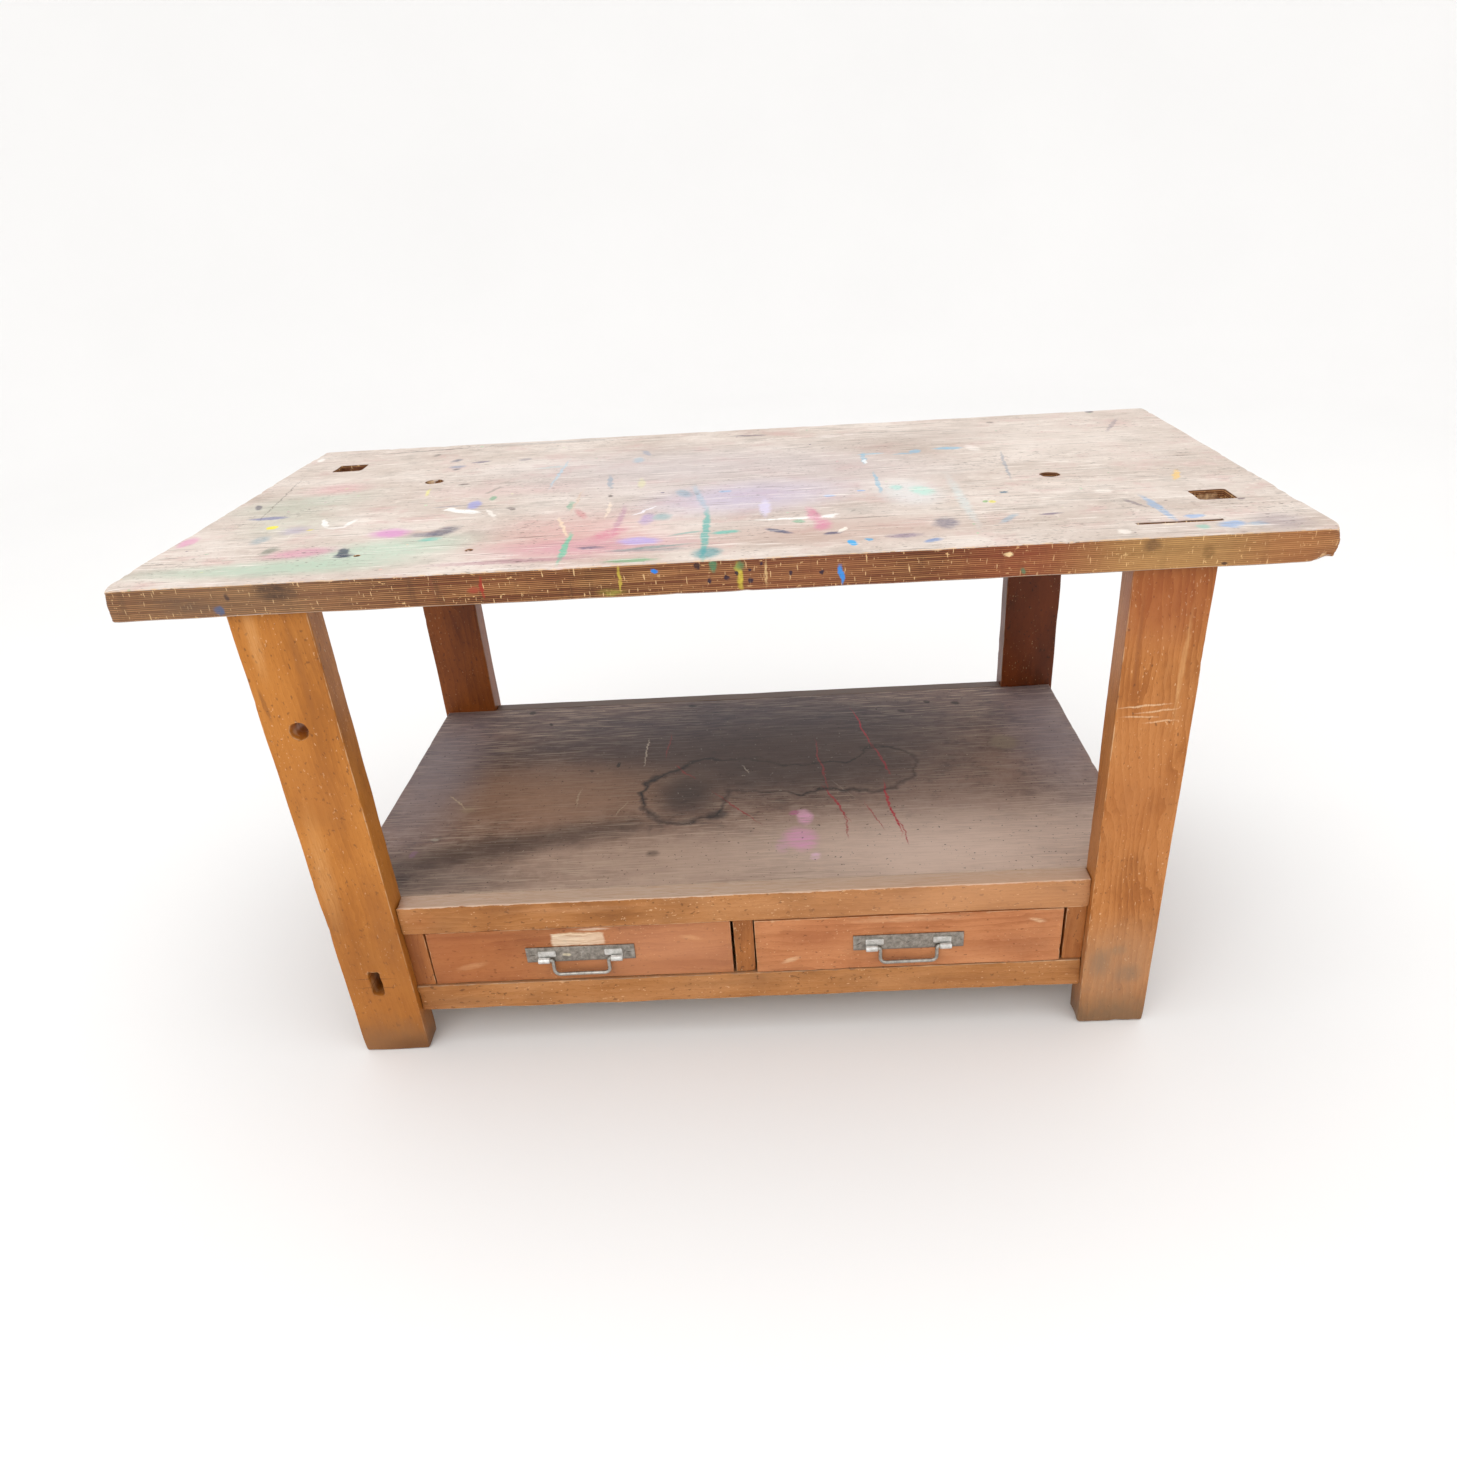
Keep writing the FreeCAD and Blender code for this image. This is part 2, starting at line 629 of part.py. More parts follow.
def polygon(sketch, corners):
    """A closed outline whose every corner is tied to the sketch's origin."""
    points = [Vector(doc_value(x), doc_value(y), 0) for x, y in corners]
    for start, end in zip(points, points[1:] + points[:1]):
        sketch.addGeometry(Part.LineSegment(start, end))
    for number, (x, y) in enumerate(corners):
        before = (number - 1) % len(corners)
        sketch.addConstraint(Sketcher.Constraint("Coincident", before, 2, number, 1))
        dimension(sketch, "DistanceX", -1, 1, number, 1, x)
        dimension(sketch, "DistanceY", -1, 1, number, 1, y)


def dovetailed_board(name, start_x, face):
    """A drawer side with three dovetails at its front, drawn from the side and given its thickness."""
    root = "drawer_front_thickness"
    outline = [("drawer_length", "0"), (root, "0")]
    for step in (-1, 0, 1):
        centre = "drawer_side_height / 2 + %d * tail_pitch" % step
        outline += [(root, centre + " - tail_half_neck"), ("drawer_lap", centre + " - tail_half_width")]
        outline += [("drawer_lap", centre + " + tail_half_width"), (root, centre + " + tail_half_neck")]
    outline += [(root, "drawer_side_height"), ("drawer_length", "drawer_side_height")]
    body = doc.addObject("PartDesign::Body", name)
    sketch = sketch_in(body, name + "_outline", "YZ_Plane")
    polygon(sketch, outline)
    pad(body, sketch, name + "_pad", "drawer_side_thickness")
    place(body, start_x, face, DRAWER_LOW_Z)
    return body


def make_drawer(side):
    """A drawer: lapped dovetails at the front, a housed back and a plywood bottom in grooves."""
    prefix = SIDE_NAMES[side] + "_drawer_"
    face = drawer_face(side)
    left, right = drawer_along(side)
    inner_left = "%s + drawer_side_thickness" % left
    inner_right = "%s - drawer_side_thickness" % right
    back_front = "%s + drawer_length - drawer_side_thickness" % face
    bottom_low = "%s + drawer_bottom_lift" % DRAWER_LOW_Z
    bottom_rise = (bottom_low, "%s + drawer_bottom_thickness" % bottom_low)
    side_top = "%s + drawer_side_height" % DRAWER_LOW_Z

    bottom = fused(
        prefix + "bottom_whole",
        box(
            prefix + "bottom_main",
            ("%s - drawer_groove" % inner_left, "%s + drawer_groove" % inner_right),
            ("%s + drawer_front_thickness" % face, "%s + drawer_length" % face),
            bottom_rise,
        ),
        box(
            prefix + "bottom_tongue",
            (inner_left, inner_right),
            ("%s + drawer_front_thickness - drawer_groove" % face, "%s + drawer_front_thickness" % face),
            bottom_rise,
        ),
    )
    back = box(
        prefix + "back_board",
        ("%s - drawer_groove" % inner_left, "%s + drawer_groove" % inner_right),
        (back_front, "%s + drawer_side_thickness" % back_front),
        (bottom_rise[1], side_top),
    )
    boards = []
    for which, start in (("left", left), ("right", inner_right)):
        blank = dovetailed_board("%s%s_blank" % (prefix, which), start, face)
        boards.append(blank)
        node(cut("%s%s_cut" % (prefix, which), blank, bottom, back), "%s%s_side" % (prefix, which))
    front = box(
        prefix + "front_board",
        (left, right),
        (face, "%s + drawer_front_thickness" % face),
        (DRAWER_LOW_Z, "%s + drawer_front_height" % DRAWER_LOW_Z),
    )
    screws = make_handle_screws(side)
    node(cut(prefix + "front_cut", front, *boards, bottom, screws), prefix + "front")
    node(back, prefix + "back")
    node(bottom, prefix + "bottom")
    make_handle(side, screws)


def make_drawer_stops():
    """The blocks behind the drawers, glued on the inner runners, one node of separate solids."""
    blocks = []
    for side, name in SIDE_NAMES.items():
        shut = "%s + drawer_length" % drawer_face(side)
        blocks.append(
            box(
                name + "_stop_block",
                toward(side, OPENING_IN_X, "%s + runner_inner_width" % OPENING_IN_X),
                (shut, "%s + stop_block_length" % shut),
                (OPENING_LOW_Z, "%s + stop_block_height" % OPENING_LOW_Z),
            )
        )
    group = doc.addObject("Part::Compound", "stop_block_group")
    group.Links = blocks
    node(group, "drawer_stops")


def handle_middle(side):
    """The handle's centre along the bench and the plate's front face across it."""
    left, right = drawer_along(side)
    return "((%s + %s) / 2)" % (left, right), "(%s - plate_thickness)" % drawer_face(side)


def make_handle_screws(side):
    """Three countersunk screws with driver slots, one node of separate solids."""
    middle, plate_face = handle_middle(side)
    inward = FreeCAD.Rotation(Vector(0, 0, 1), Vector(0, 1, 0))
    reach = "(handle_screw_head - handle_screw_shank)"
    straight = "(handle_screw_length - %s - handle_screw_shank)" % reach
    group = []
    for number, turn in ((-1, 20), (0, -35), (1, 75)):
        name = "%s_handle_screw_%d" % (SIDE_NAMES[side], number + 2)
        along = "%s + %d * handle_screw_spacing" % (middle, number)
        shank_start = "%s + %s" % (plate_face, reach)
        shank = cylinder(
            name + "_shank", "handle_screw_shank", straight, along, shank_start, "plate_centre_height",
            Vector(0, 1, 0),
        )
        pieces = [shank]
        for part_name, near, far, height, start in (
            ("head", "handle_screw_head", "handle_screw_shank", reach, plate_face),
            ("tip", "handle_screw_shank", "0", "handle_screw_shank", "%s + %s" % (shank_start, straight)),
        ):
            cone = doc.addObject("Part::Cone", "%s_%s" % (name, part_name))
            cone.setExpression("Radius1", bound(near))
            cone.setExpression("Radius2", bound(far))
            cone.setExpression("Height", bound(height))
            cone.Placement = FreeCAD.Placement(Vector(), inward)
            place(cone, along, start, "plate_centre_height")
            pieces.append(cone)
        slot = box(
            name + "_slot", both("handle_screw_head"), ("0", "2 * handle_screw_slot"),
            both("handle_screw_slot / 2"),
        )
        slot_turn = FreeCAD.Rotation(Vector(0, 1, 0), turn)
        corner = slot_turn.multVec(Vector(-size("handle_screw_head"), 0, -size("handle_screw_slot") / 2))
        slot.Placement = FreeCAD.Placement(Vector(), slot_turn)
        place(
            slot, "%s + %.6f" % (along, corner.x), "%s - handle_screw_slot" % plate_face,
            "plate_centre_height + %.6f" % corner.z,
        )
        group.append(cut(name, fused(name + "_whole", *pieces), slot))
    item = doc.addObject("Part::Compound", SIDE_NAMES[side] + "_screw_group")
    item.Links = group
    return node(item, SIDE_NAMES[side] + "_handle_screws")


def make_plate(side, screws):
    """The flat handle plate, countersunk for its screws."""
    prefix = SIDE_NAMES[side] + "_handle_"
    middle, plate_face = handle_middle(side)
    body = doc.addObject("PartDesign::Body", prefix + "plate_body")
    outline = sketch_in(body, prefix + "plate_outline", "XZ_Plane")
    rectangle(outline, both("plate_length / 2"), both("plate_height / 2"))
    raised = pad(body, outline, prefix + "plate_pad", "plate_thickness")
    round_uprights(body, raised, prefix + "plate_corners", "plate_corner_radius")
    place(body, middle, drawer_face(side), "plate_centre_height")
    node(cut(prefix + "plate_cut", body, screws), prefix + "plate")


def make_knuckle(side, end):
    """A strap folded round the bail's end, slotted below so that the bail can swing."""
    prefix = "%s_handle_%s_knuckle" % (SIDE_NAMES[side], SIDE_NAMES[end])
    middle, plate_face = handle_middle(side)
    axis_y = "(%s - knuckle_radius)" % plate_face
    axis_z = "(plate_centre_height - bail_drop)"
    low = "(%s + %d * knuckle_centre - knuckle_width / 2)" % (middle, end)
    along = (low, "%s + knuckle_width" % low)
    strap = ("knuckle_radius - knuckle_bore", "knuckle_width")
    barrel = cylinder(prefix + "_barrel", "knuckle_radius", strap[1], low, axis_y, axis_z, Vector(1, 0, 0))
    tail = box(
        prefix + "_tail", along, ("%s - (%s)" % (plate_face, strap[0]), plate_face),
        (axis_z, "%s + knuckle_tail" % axis_z),
    )
    bore = cylinder(
        prefix + "_bore", "knuckle_bore", "knuckle_width + 2", "%s - 1" % low, axis_y, axis_z, Vector(1, 0, 0)
    )
    if end == LEFT:
        gap = ("%s - knuckle_slot" % along[1], "%s + 1" % along[1])
    else:
        gap = ("%s - 1" % along[0], "%s + knuckle_slot" % along[0])
    slot = box(
        prefix + "_slot", gap,
        ("%s - knuckle_radius - 1" % axis_y, "%s + knuckle_radius + 1" % axis_y),
        ("%s - knuckle_radius - 1" % axis_z, "%s + knuckle_slot_rise" % axis_z),
    )
    node(cut(prefix + "_cut", fused(prefix + "_whole", barrel, tail), bore, slot), prefix)


def rounded_path(sketch, corners):
    """Lines through the corners, with an arc of the given radius at each inner one."""
    start = Vector(*corners[0][:2], 0)
    for before, here, after in zip(corners, corners[1:], corners[2:]):
        point = Vector(*here[:2], 0)
        incoming = (point - Vector(*before[:2], 0)).normalize()
        outgoing = (Vector(*after[:2], 0) - point).normalize()
        radius = here[2]
        reach = radius * math.tan(incoming.getAngle(outgoing) / 2)
        first, last = point - incoming * reach, point + outgoing * reach
        centre = first + (outgoing - incoming * incoming.dot(outgoing)).normalize() * radius
        halfway = centre + (point - centre).normalize() * radius
        sketch.addGeometry(Part.LineSegment(start, first))
        sketch.addGeometry(Part.Arc(first, halfway, last))
        start = last
    sketch.addGeometry(Part.LineSegment(start, Vector(*corners[-1][:2], 0)))


def make_bail(side):
    """The bent wire handle, its two pins running out into the knuckles."""
    prefix = SIDE_NAMES[side] + "_handle_bail"
    middle, plate_face = handle_middle(side)
    body = doc.addObject("PartDesign::Body", prefix + "_body")
    path = sketch_in(body, prefix + "_path", "XZ_Plane")
    pin, half, hang = size("bail_pin_end"), size("bail_half_width"), size("bail_hang")
    pin_bend, grip_bend = size("bail_pin_bend"), size("bail_grip_bend")
    corners = [
        (-pin, 0, 0),
        (-half, 0, pin_bend),
        (-half, -hang, grip_bend),
        (half, -hang, grip_bend),
        (half, 0, pin_bend),
        (pin, 0, 0),
    ]
    rounded_path(path, corners)
    section = sketch_in(body, prefix + "_section", "YZ_Plane")
    section.AttachmentOffset = FreeCAD.Placement(Vector(0, 0, -pin), FreeCAD.Rotation())
    circle(section, "0", "0", "bail_wire_radius")
    wire = body.newObject("PartDesign::AdditivePipe", prefix + "_wire")
    wire.Profile = section
    wire.Spine = path
    place(body, middle, "%s - knuckle_radius" % plate_face, "plate_centre_height - bail_drop")
    node(body, prefix)


def make_handle(side, screws):
    """A drawer's handle: plate, two knuckles and the bail."""
    make_plate(side, screws)
    for end in (LEFT, RIGHT):
        make_knuckle(side, end)
    make_bail(side)


def write_parts():
    """Checks every object, then writes each sub-part to its STEP file."""
    doc.recompute()
    for item in doc.Objects:
        if "Invalid" in item.State or "Error" in item.State:
            raise RuntimeError("%s failed: %s" % (item.Name, item.State))
    for item in nodes:
        if item.Shape.isNull() or not item.Shape.isValid() or not item.Shape.Solids:
            raise RuntimeError("%s has no valid shape" % item.Label)
    os.makedirs("parts", exist_ok=True)
    for old in os.listdir("parts"):
        os.remove(os.path.join("parts", old))
    for item in nodes:
        item.Shape.exportStep(os.path.join("parts", item.Label + ".step"))
        print("%-32s %2d solid %12.1f mm3" % (item.Label, len(item.Shape.Solids), item.Shape.Volume))


make_worktop()
for end, end_name in ((FRONT, "front"), (REAR, "rear")):
    for side, side_name in SIDE_NAMES.items():
        make_leg("%s_%s_leg" % (end_name, side_name), side, end)
for side in SIDE_NAMES:
    make_bearer(side)
    make_side_board(side)
make_rails()
make_stiles()
make_case_inside()
make_slab_bolts()
make_drawer_stops()
for side in SIDE_NAMES:
    make_drawer(side)
write_parts()
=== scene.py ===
"""The looks of a school workshop bench: worn planks, a paint-stained plywood top and zinc drawer pulls."""
import json
import logging
from dataclasses import dataclass, field
from enum import Enum

import bpy
import numpy as np
from mathutils import Matrix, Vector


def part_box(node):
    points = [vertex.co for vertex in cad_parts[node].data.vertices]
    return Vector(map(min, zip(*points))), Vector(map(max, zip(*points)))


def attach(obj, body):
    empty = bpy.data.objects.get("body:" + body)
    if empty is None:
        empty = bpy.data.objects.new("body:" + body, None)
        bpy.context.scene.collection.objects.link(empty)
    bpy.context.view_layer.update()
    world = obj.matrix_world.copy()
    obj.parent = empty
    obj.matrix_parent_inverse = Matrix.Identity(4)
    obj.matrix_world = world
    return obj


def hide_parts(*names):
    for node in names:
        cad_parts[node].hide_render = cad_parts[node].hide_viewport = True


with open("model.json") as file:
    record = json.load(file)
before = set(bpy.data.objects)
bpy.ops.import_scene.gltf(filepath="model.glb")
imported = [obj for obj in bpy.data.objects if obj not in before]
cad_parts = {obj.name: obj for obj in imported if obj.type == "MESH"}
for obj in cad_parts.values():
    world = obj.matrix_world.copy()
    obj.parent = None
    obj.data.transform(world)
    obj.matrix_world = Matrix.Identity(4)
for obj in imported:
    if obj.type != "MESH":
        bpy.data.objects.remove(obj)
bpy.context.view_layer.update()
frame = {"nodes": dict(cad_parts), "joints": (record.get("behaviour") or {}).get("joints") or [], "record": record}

log = logging.getLogger("workbench")
MM = 0.001
Array = np.ndarray
Socket = bpy.types.NodeSocket


class Grain(Enum):
    """The way a board's fibres run, as the turn that lays them along X."""

    ALONG_X = (0.0, 0.0, 0.0)
    ALONG_Y = (0.0, 0.0, -np.pi / 2)
    ALONG_Z = (0.0, np.pi / 2, 0.0)


class Edge(Enum):
    """The outline of a mark."""

    ROUND = "round"
    SQUARE = "square"


def linear(code: str) -> tuple[float, ...]:
    """Turns an sRGB hex colour into the linear one that a shader takes.

    Args:
        code: The colour as six hex digits.

    Returns:
        Red, green, blue and full opacity.
    """
    channels = np.array([int(code[i : i + 2], 16) for i in (0, 2, 4)]) / 255
    low, high = channels / 12.92, ((channels + 0.055) / 1.055) ** 2.4
    return (*np.where(channels <= 0.04045, low, high), 1.0)


# ---------------------------------------------------------------- numbers into shapes


@dataclass(frozen=True)
class Ripple:
    """Smooth unevenness: a sum of plane waves with seeded directions and phases.

    Each wave is sin(2 pi k.p / wavelength + phase) with a random unit vector k; their sum is divided by
    the root of half their number, so that it mostly stays between -1.5 and 1.5.
    """

    wavelength: float
    seed: int
    waves: int = 10

    def at(self, points: Array) -> Array:
        """The unevenness at each of the points.

        Args:
            points: Places in metres, one per row.

        Returns:
            One number per point.
        """
        rng = np.random.default_rng(self.seed)
        ways = rng.normal(size=(self.waves, 3))
        ways /= np.linalg.norm(ways, axis=1, keepdims=True)
        ways *= 2 * np.pi / (self.wavelength * rng.uniform(0.6, 1.5, size=(self.waves, 1)))
        phases = rng.uniform(0, 2 * np.pi, self.waves)
        return np.sin(points @ ways.T + phases).sum(1) / np.sqrt(self.waves / 2)


def smoothstep(value: Array) -> Array:
    """Eases numbers from 0 to 1: 3 t squared minus 2 t cubed, t held between 0 and 1.

    Args:
        value: The numbers, of any size.

    Returns:
        The eased numbers.
    """
    held = np.clip(value, 0, 1)
    return held * held * (3 - 2 * held)


# Where the points of a rounded rim lie, as shares of its width.
RIM_SHARES = np.array([0.0, 0.14, 0.3, 0.5, 0.75, 1.0])


def stations(half: float, pitch: float, edge: float) -> Array:
    """Places along one edge of a block, close together near its ends.

    Args:
        half: Half the edge's length.
        pitch: The distance between places in the middle.
        edge: The width of the rounded zone at each end.

    Returns:
        The places, from -half to half.
    """
    rim = half - edge * RIM_SHARES
    count = max(2, int(np.ceil(2 * rim[-1] / pitch)) + 1)
    inside = np.linspace(-rim[-1], rim[-1], count)[1:-1]
    return np.concatenate([-rim, inside, rim[::-1]])


def block_surface(marks: list[Array]) -> tuple[Array, Array]:
    """The six sides of a block as grids that share their rims.

    Each side is the grid of two axes' places with the third axis at one of its ends. Points that two sides
    share are merged.

    Args:
        marks: The places along X, Y and Z.

    Returns:
        The points and the four-sided faces, turned outwards.
    """
    points, quads, start = [], [], 0
    for axis in range(3):
        u_axis, v_axis = (axis + 1) % 3, (axis + 2) % 3
        u, v = np.meshgrid(marks[u_axis], marks[v_axis], indexing="ij")
        rows, columns = u.shape
        index = np.arange(rows * columns).reshape(rows, columns)
        corners = (index[:-1, :-1], index[1:, :-1], index[1:, 1:], index[:-1, 1:])
        ring = np.stack([corner.ravel() for corner in corners], 1)
        for end in (0, -1):
            side = np.empty((rows * columns, 3))
            side[:, axis] = marks[axis][end]
            side[:, u_axis] = u.ravel()
            side[:, v_axis] = v.ravel()
            points.append(side)
            quads.append((ring if end == -1 else ring[:, ::-1]) + start)
            start += rows * columns
    everything = np.concatenate(points)
    _, first, back = np.unique(np.round(everything, 7), axis=0, return_index=True, return_inverse=True)
    return everything[first], back.reshape(-1)[np.concatenate(quads)]


def swept(rings: Array) -> tuple[Array, list]:
    """A closed skin over a row of outlines.

    The grid's rows are the outlines and its columns run round them; both ends close on their middle point.

    Args:
        rings: Outlines by points by three coordinates.

    Returns:
        The points and the faces.
    """
    rows, columns = rings.shape[:2]
    index = np.arange(rows * columns).reshape(rows, columns)
    ahead = np.roll(index, -1, axis=1)
    walls = np.stack([index[:-1], ahead[:-1], ahead[1:], index[1:]], -1).reshape(-1, 4)
    middles = np.stack([rings[0].mean(0), rings[-1].mean(0)])
    first, last = rows * columns, rows * columns + 1
    start_cap = np.stack([ahead[0], index[0], np.full(columns, first)], 1)
    end_cap = np.stack([index[-1], ahead[-1], np.full(columns, last)], 1)
    points = np.concatenate([rings.reshape(-1, 3), middles])
    return points, walls.tolist() + start_cap.tolist() + end_cap.tolist()


def directions(path: Array) -> Array:
    """The way a path runs at each of its points: the change from point to point, brought to length 1.

    Args:
        path: The points, one per row.

    Returns:
        One unit vector per point.
    """
    ahead = np.gradient(path, axis=0)
    return ahead / np.linalg.norm(ahead, axis=1, keepdims=True)


def superellipse(count: int, power: float) -> Array:
    """An outline between a circle (power 2) and a square: x and y are signed powers of cosine and sine.

    Args:
        count: The number of points.
        power: The roundness, larger for squarer.

    Returns:
        Points on the outline, one per row, within -1 and 1.
    """
    turn = np.linspace(0, 2 * np.pi, count, endpoint=False) + np.pi / 4
    wave = np.stack([np.cos(turn), np.sin(turn)], 1)
    return np.sign(wave) * np.abs(wave) ** (2 / power)


def new_object(name: str, points: Array, faces, crease_deg: float = 32.0) -> bpy.types.Object:
    """Makes a smooth-shaded mesh object with sharp creases.

    Args:
        name: The object's name.
        points: Its corner points in metres.
        faces: Its faces.
        crease_deg: Faces that meet at more than this angle get a sharp edge.

    Returns:
        The object, linked to the scene.
    """
    mesh = bpy.data.meshes.new(name)
    mesh.from_pydata(points, [], faces.tolist() if isinstance(faces, np.ndarray) else faces)
    mesh.shade_smooth()
    mesh.set_sharp_from_angle(angle=np.radians(crease_deg))
    thing = bpy.data.objects.new(name, mesh)
    bpy.context.scene.collection.objects.link(thing)
    return thing


def set_attributes(thing: bpy.types.Object, **values: Array | float) -> None:
    """Stores numbers for a mesh's points under names that a material reads.

    Args:
        thing: The object.
        **values: Per name one number for each point, or one for all of them.
    """
    count = len(thing.data.vertices)
    for name, value in values.items():
        layer = thing.data.attributes.new(name, "FLOAT", "POINT")
        layer.data.foreach_set("value", np.broadcast_to(value, count).astype(np.float32))


def cut_away(thing: bpy.types.Object, cutters: list[bpy.types.Object], crease_deg: float = 32.0) -> None:
    """Takes the cutters out of a piece and deletes them.

    Args:
        thing: The piece to cut.
        cutters: Closed meshes.
        crease_deg: Faces that meet at more than this angle get a sharp edge afterwards.
    """
    for cutter in cutters:
        modifier = thing.modifiers.new("cut", "BOOLEAN")
        modifier.operation = "DIFFERENCE"
        modifier.solver = "EXACT"
        modifier.object = cutter
    graph = bpy.context.evaluated_depsgraph_get()
    graph.update()
    shape = thing.evaluated_get(graph)
    mesh = bpy.data.meshes.new_from_object(shape, preserve_all_data_layers=True, depsgraph=graph)
    thing.modifiers.clear()
    old, thing.data = thing.data, mesh
    mesh.name = old.name
    bpy.data.meshes.remove(old)
    mesh.shade_smooth()
    mesh.set_sharp_from_angle(angle=np.radians(crease_deg))
    for cutter in cutters:
        bpy.data.objects.remove(cutter)


# ---------------------------------------------------------------- finishes


class Graph:
    """One material's nodes, added a node at a time."""

    def __init__(self, name: str) -> None:
        """Starts an empty material.

        Args:
            name: The material's name.
        """
        self.material = bpy.data.materials.new(name)
        self.material.use_nodes = True
        self.tree = self.material.node_tree
        self.tree.nodes.clear()

    def add(self, kind: str, inputs: dict, out: int | str = 0, **settings) -> Socket:
        """Adds a node.

        Args:
            kind: The node's type, without its ShaderNode prefix.
            inputs: Input name or number to a socket, a number or a colour.
            out: The output to hand back.
            **settings: The node's own properties.

        Returns:
            The chosen output socket.
        """
        node = self.tree.nodes.new("ShaderNode" + kind)
        for name, value in settings.items():
            setattr(node, name, value)
        for name, value in inputs.items():
            if isinstance(value, bpy.types.NodeSocket):
                self.tree.links.new(value, node.inputs[name])
            else:
                node.inputs[name].default_value = value
        return node.outputs[out] if node.outputs else None

    def noise(self, place: Socket, scale: float | tuple[float, ...], detail: float, rough: float = 0.5,
              turn: tuple[float, ...] = (0.0, 0.0, 0.0), at: tuple[float, ...] = (0.0, 0.0, 0.0),
              out: int | str = 0) -> Socket:
        """Smooth noise read at a place that is scaled, and may be turned and moved, first.

        Args:
            place: The socket with the place.
            scale: One factor, or one for each axis; a large one gives small shapes.
            detail: The number of finer layers.
            rough: How strong the finer layers are.
            turn: The turn about each axis, in radians.
            at: The shift along each axis.
            out: The noise's output to hand back.

        Returns:
            The noise's socket.
        """
        if isinstance(scale, tuple):
            place = self.add("Mapping", {"Vector": place, "Location": at, "Rotation": turn, "Scale": scale})
            scale = 1.0
        return self.add("TexNoise", {"Vector": place, "Scale": scale, "Detail": detail, "Roughness": rough},
                        out)

    def lay(self, colour: Socket, code: str, value: Socket, start: float, full: float,
            cover: float = 1.0) -> Socket:
        """Lays a colour over another where a value has passed from start to full.

        Args:
            colour: The socket with the colour below.
            code: The new colour as six hex digits.
            value: The socket with the value.
            start: The value where the new colour begins.
            full: The value where it has its full cover.
            cover: Its full cover, 0 to 1.

        Returns:
            The socket with the resulting colour.
        """
        share = self.add("MapRange", {"Value": value, "From Min": start, "From Max": full, "To Max": cover})
        return self.add("Mix", {0: share, 6: colour, 7: linear(code)}, 2, data_type="RGBA")

    def push(self, moved: Socket, place: Socket, scale: float, detail: float, rough: float,
             reach: float) -> Socket:
        """Pushes one place about by smooth noise that is read at another.

        Args:
            moved: The socket with the place that is pushed.
            place: The socket with the place that the noise is read at.
            scale: The noise's scale.
            detail: The number of its finer layers.
            rough: How strong they are.
            reach: The push in metres for a whole unit of noise.

        Returns:
            The socket with the pushed place.
        """
        way = self.noise(place, scale, detail, rough, out="Color")
        way = self.add("VectorMath", {0: way, 1: (0.5, 0.5, 0.5)}, operation="SUBTRACT")
        way = self.add("VectorMath", {0: way, "Scale": reach}, operation="SCALE")
        return self.add("VectorMath", {0: moved, 1: way}, operation="ADD")

    def close(self, relief: Socket, strength: float, depth: float, inputs: dict) -> bpy.types.Material:
        """Ends the material with its relief and its shader.

        Args:
            relief: The socket with the height of small unevenness, 0 to about 1.
            strength: How strongly it shows.
            depth: Its depth in metres.
            inputs: The shader's inputs by name.

        Returns:
            The finished material.
        """
        bump = self.add("Bump", {"Height": relief, "Strength": strength, "Distance": depth})
        shader = self.add("BsdfPrincipled", {"Normal": bump, **inputs})
        self.add("OutputMaterial", {"Surface": shader})
        return self.material


@dataclass(frozen=True)
class Mark:
    """A stain, drip, dab or scratch in a place of its own, in millimetres and degrees.

    at is its middle, size its half lengths before it is turned, turn its angle about the surface's normal.
    A size of 0 along an axis lets the mark run on without end that way. soft is the share of its outline
    that fades, worn how far scuffing has broken it up.
    """

    at: tuple[float, float, float]
    size: tuple[float, float, float]
    turn: tuple[float, float, float]
    colour: str
    strength: float = 0.8
    soft: float = 0.5
    worn: float = 0.5
    edge: Edge = Edge.ROUND


def top_mark(x: float, y: float, long: float, wide: float, turn: float, *look: str | float) -> Mark:
    """A mark that lies on a level face, before its turn about Z in line with X and Y.

    Args:
        x: Its middle along X.
        y: Its middle along Y.
        long: Its half length.
        wide: Its half width.
        turn: Its turn in degrees.
        *look: Its colour, strength, softness and wear.

    Returns:
        The mark.
    """
    return Mark((x, y, 0), (long, wide, 0), (0, 0, turn), *look)


def front_mark(x: float, z: float, long: float, high: float, turn: float, *look: str | float) -> Mark:
    """A mark on the bench's front, before its turn about Y in line with X and Z.

    It reaches 34 mm to either side of the plane 366 mm before the middle, so it stays off the boards'
    backs.

    Args:
        x: Its middle along X.
        z: Its middle along Z.
        long: Its half length.
        high: Its half height.
        turn: Its turn in degrees.
        *look: Its colour, strength, softness and wear.

    Returns:
        The mark.
    """
    front, reach = -366, 34
    return Mark((x, front, z), (long, reach, high), (0, turn, 0), *look)


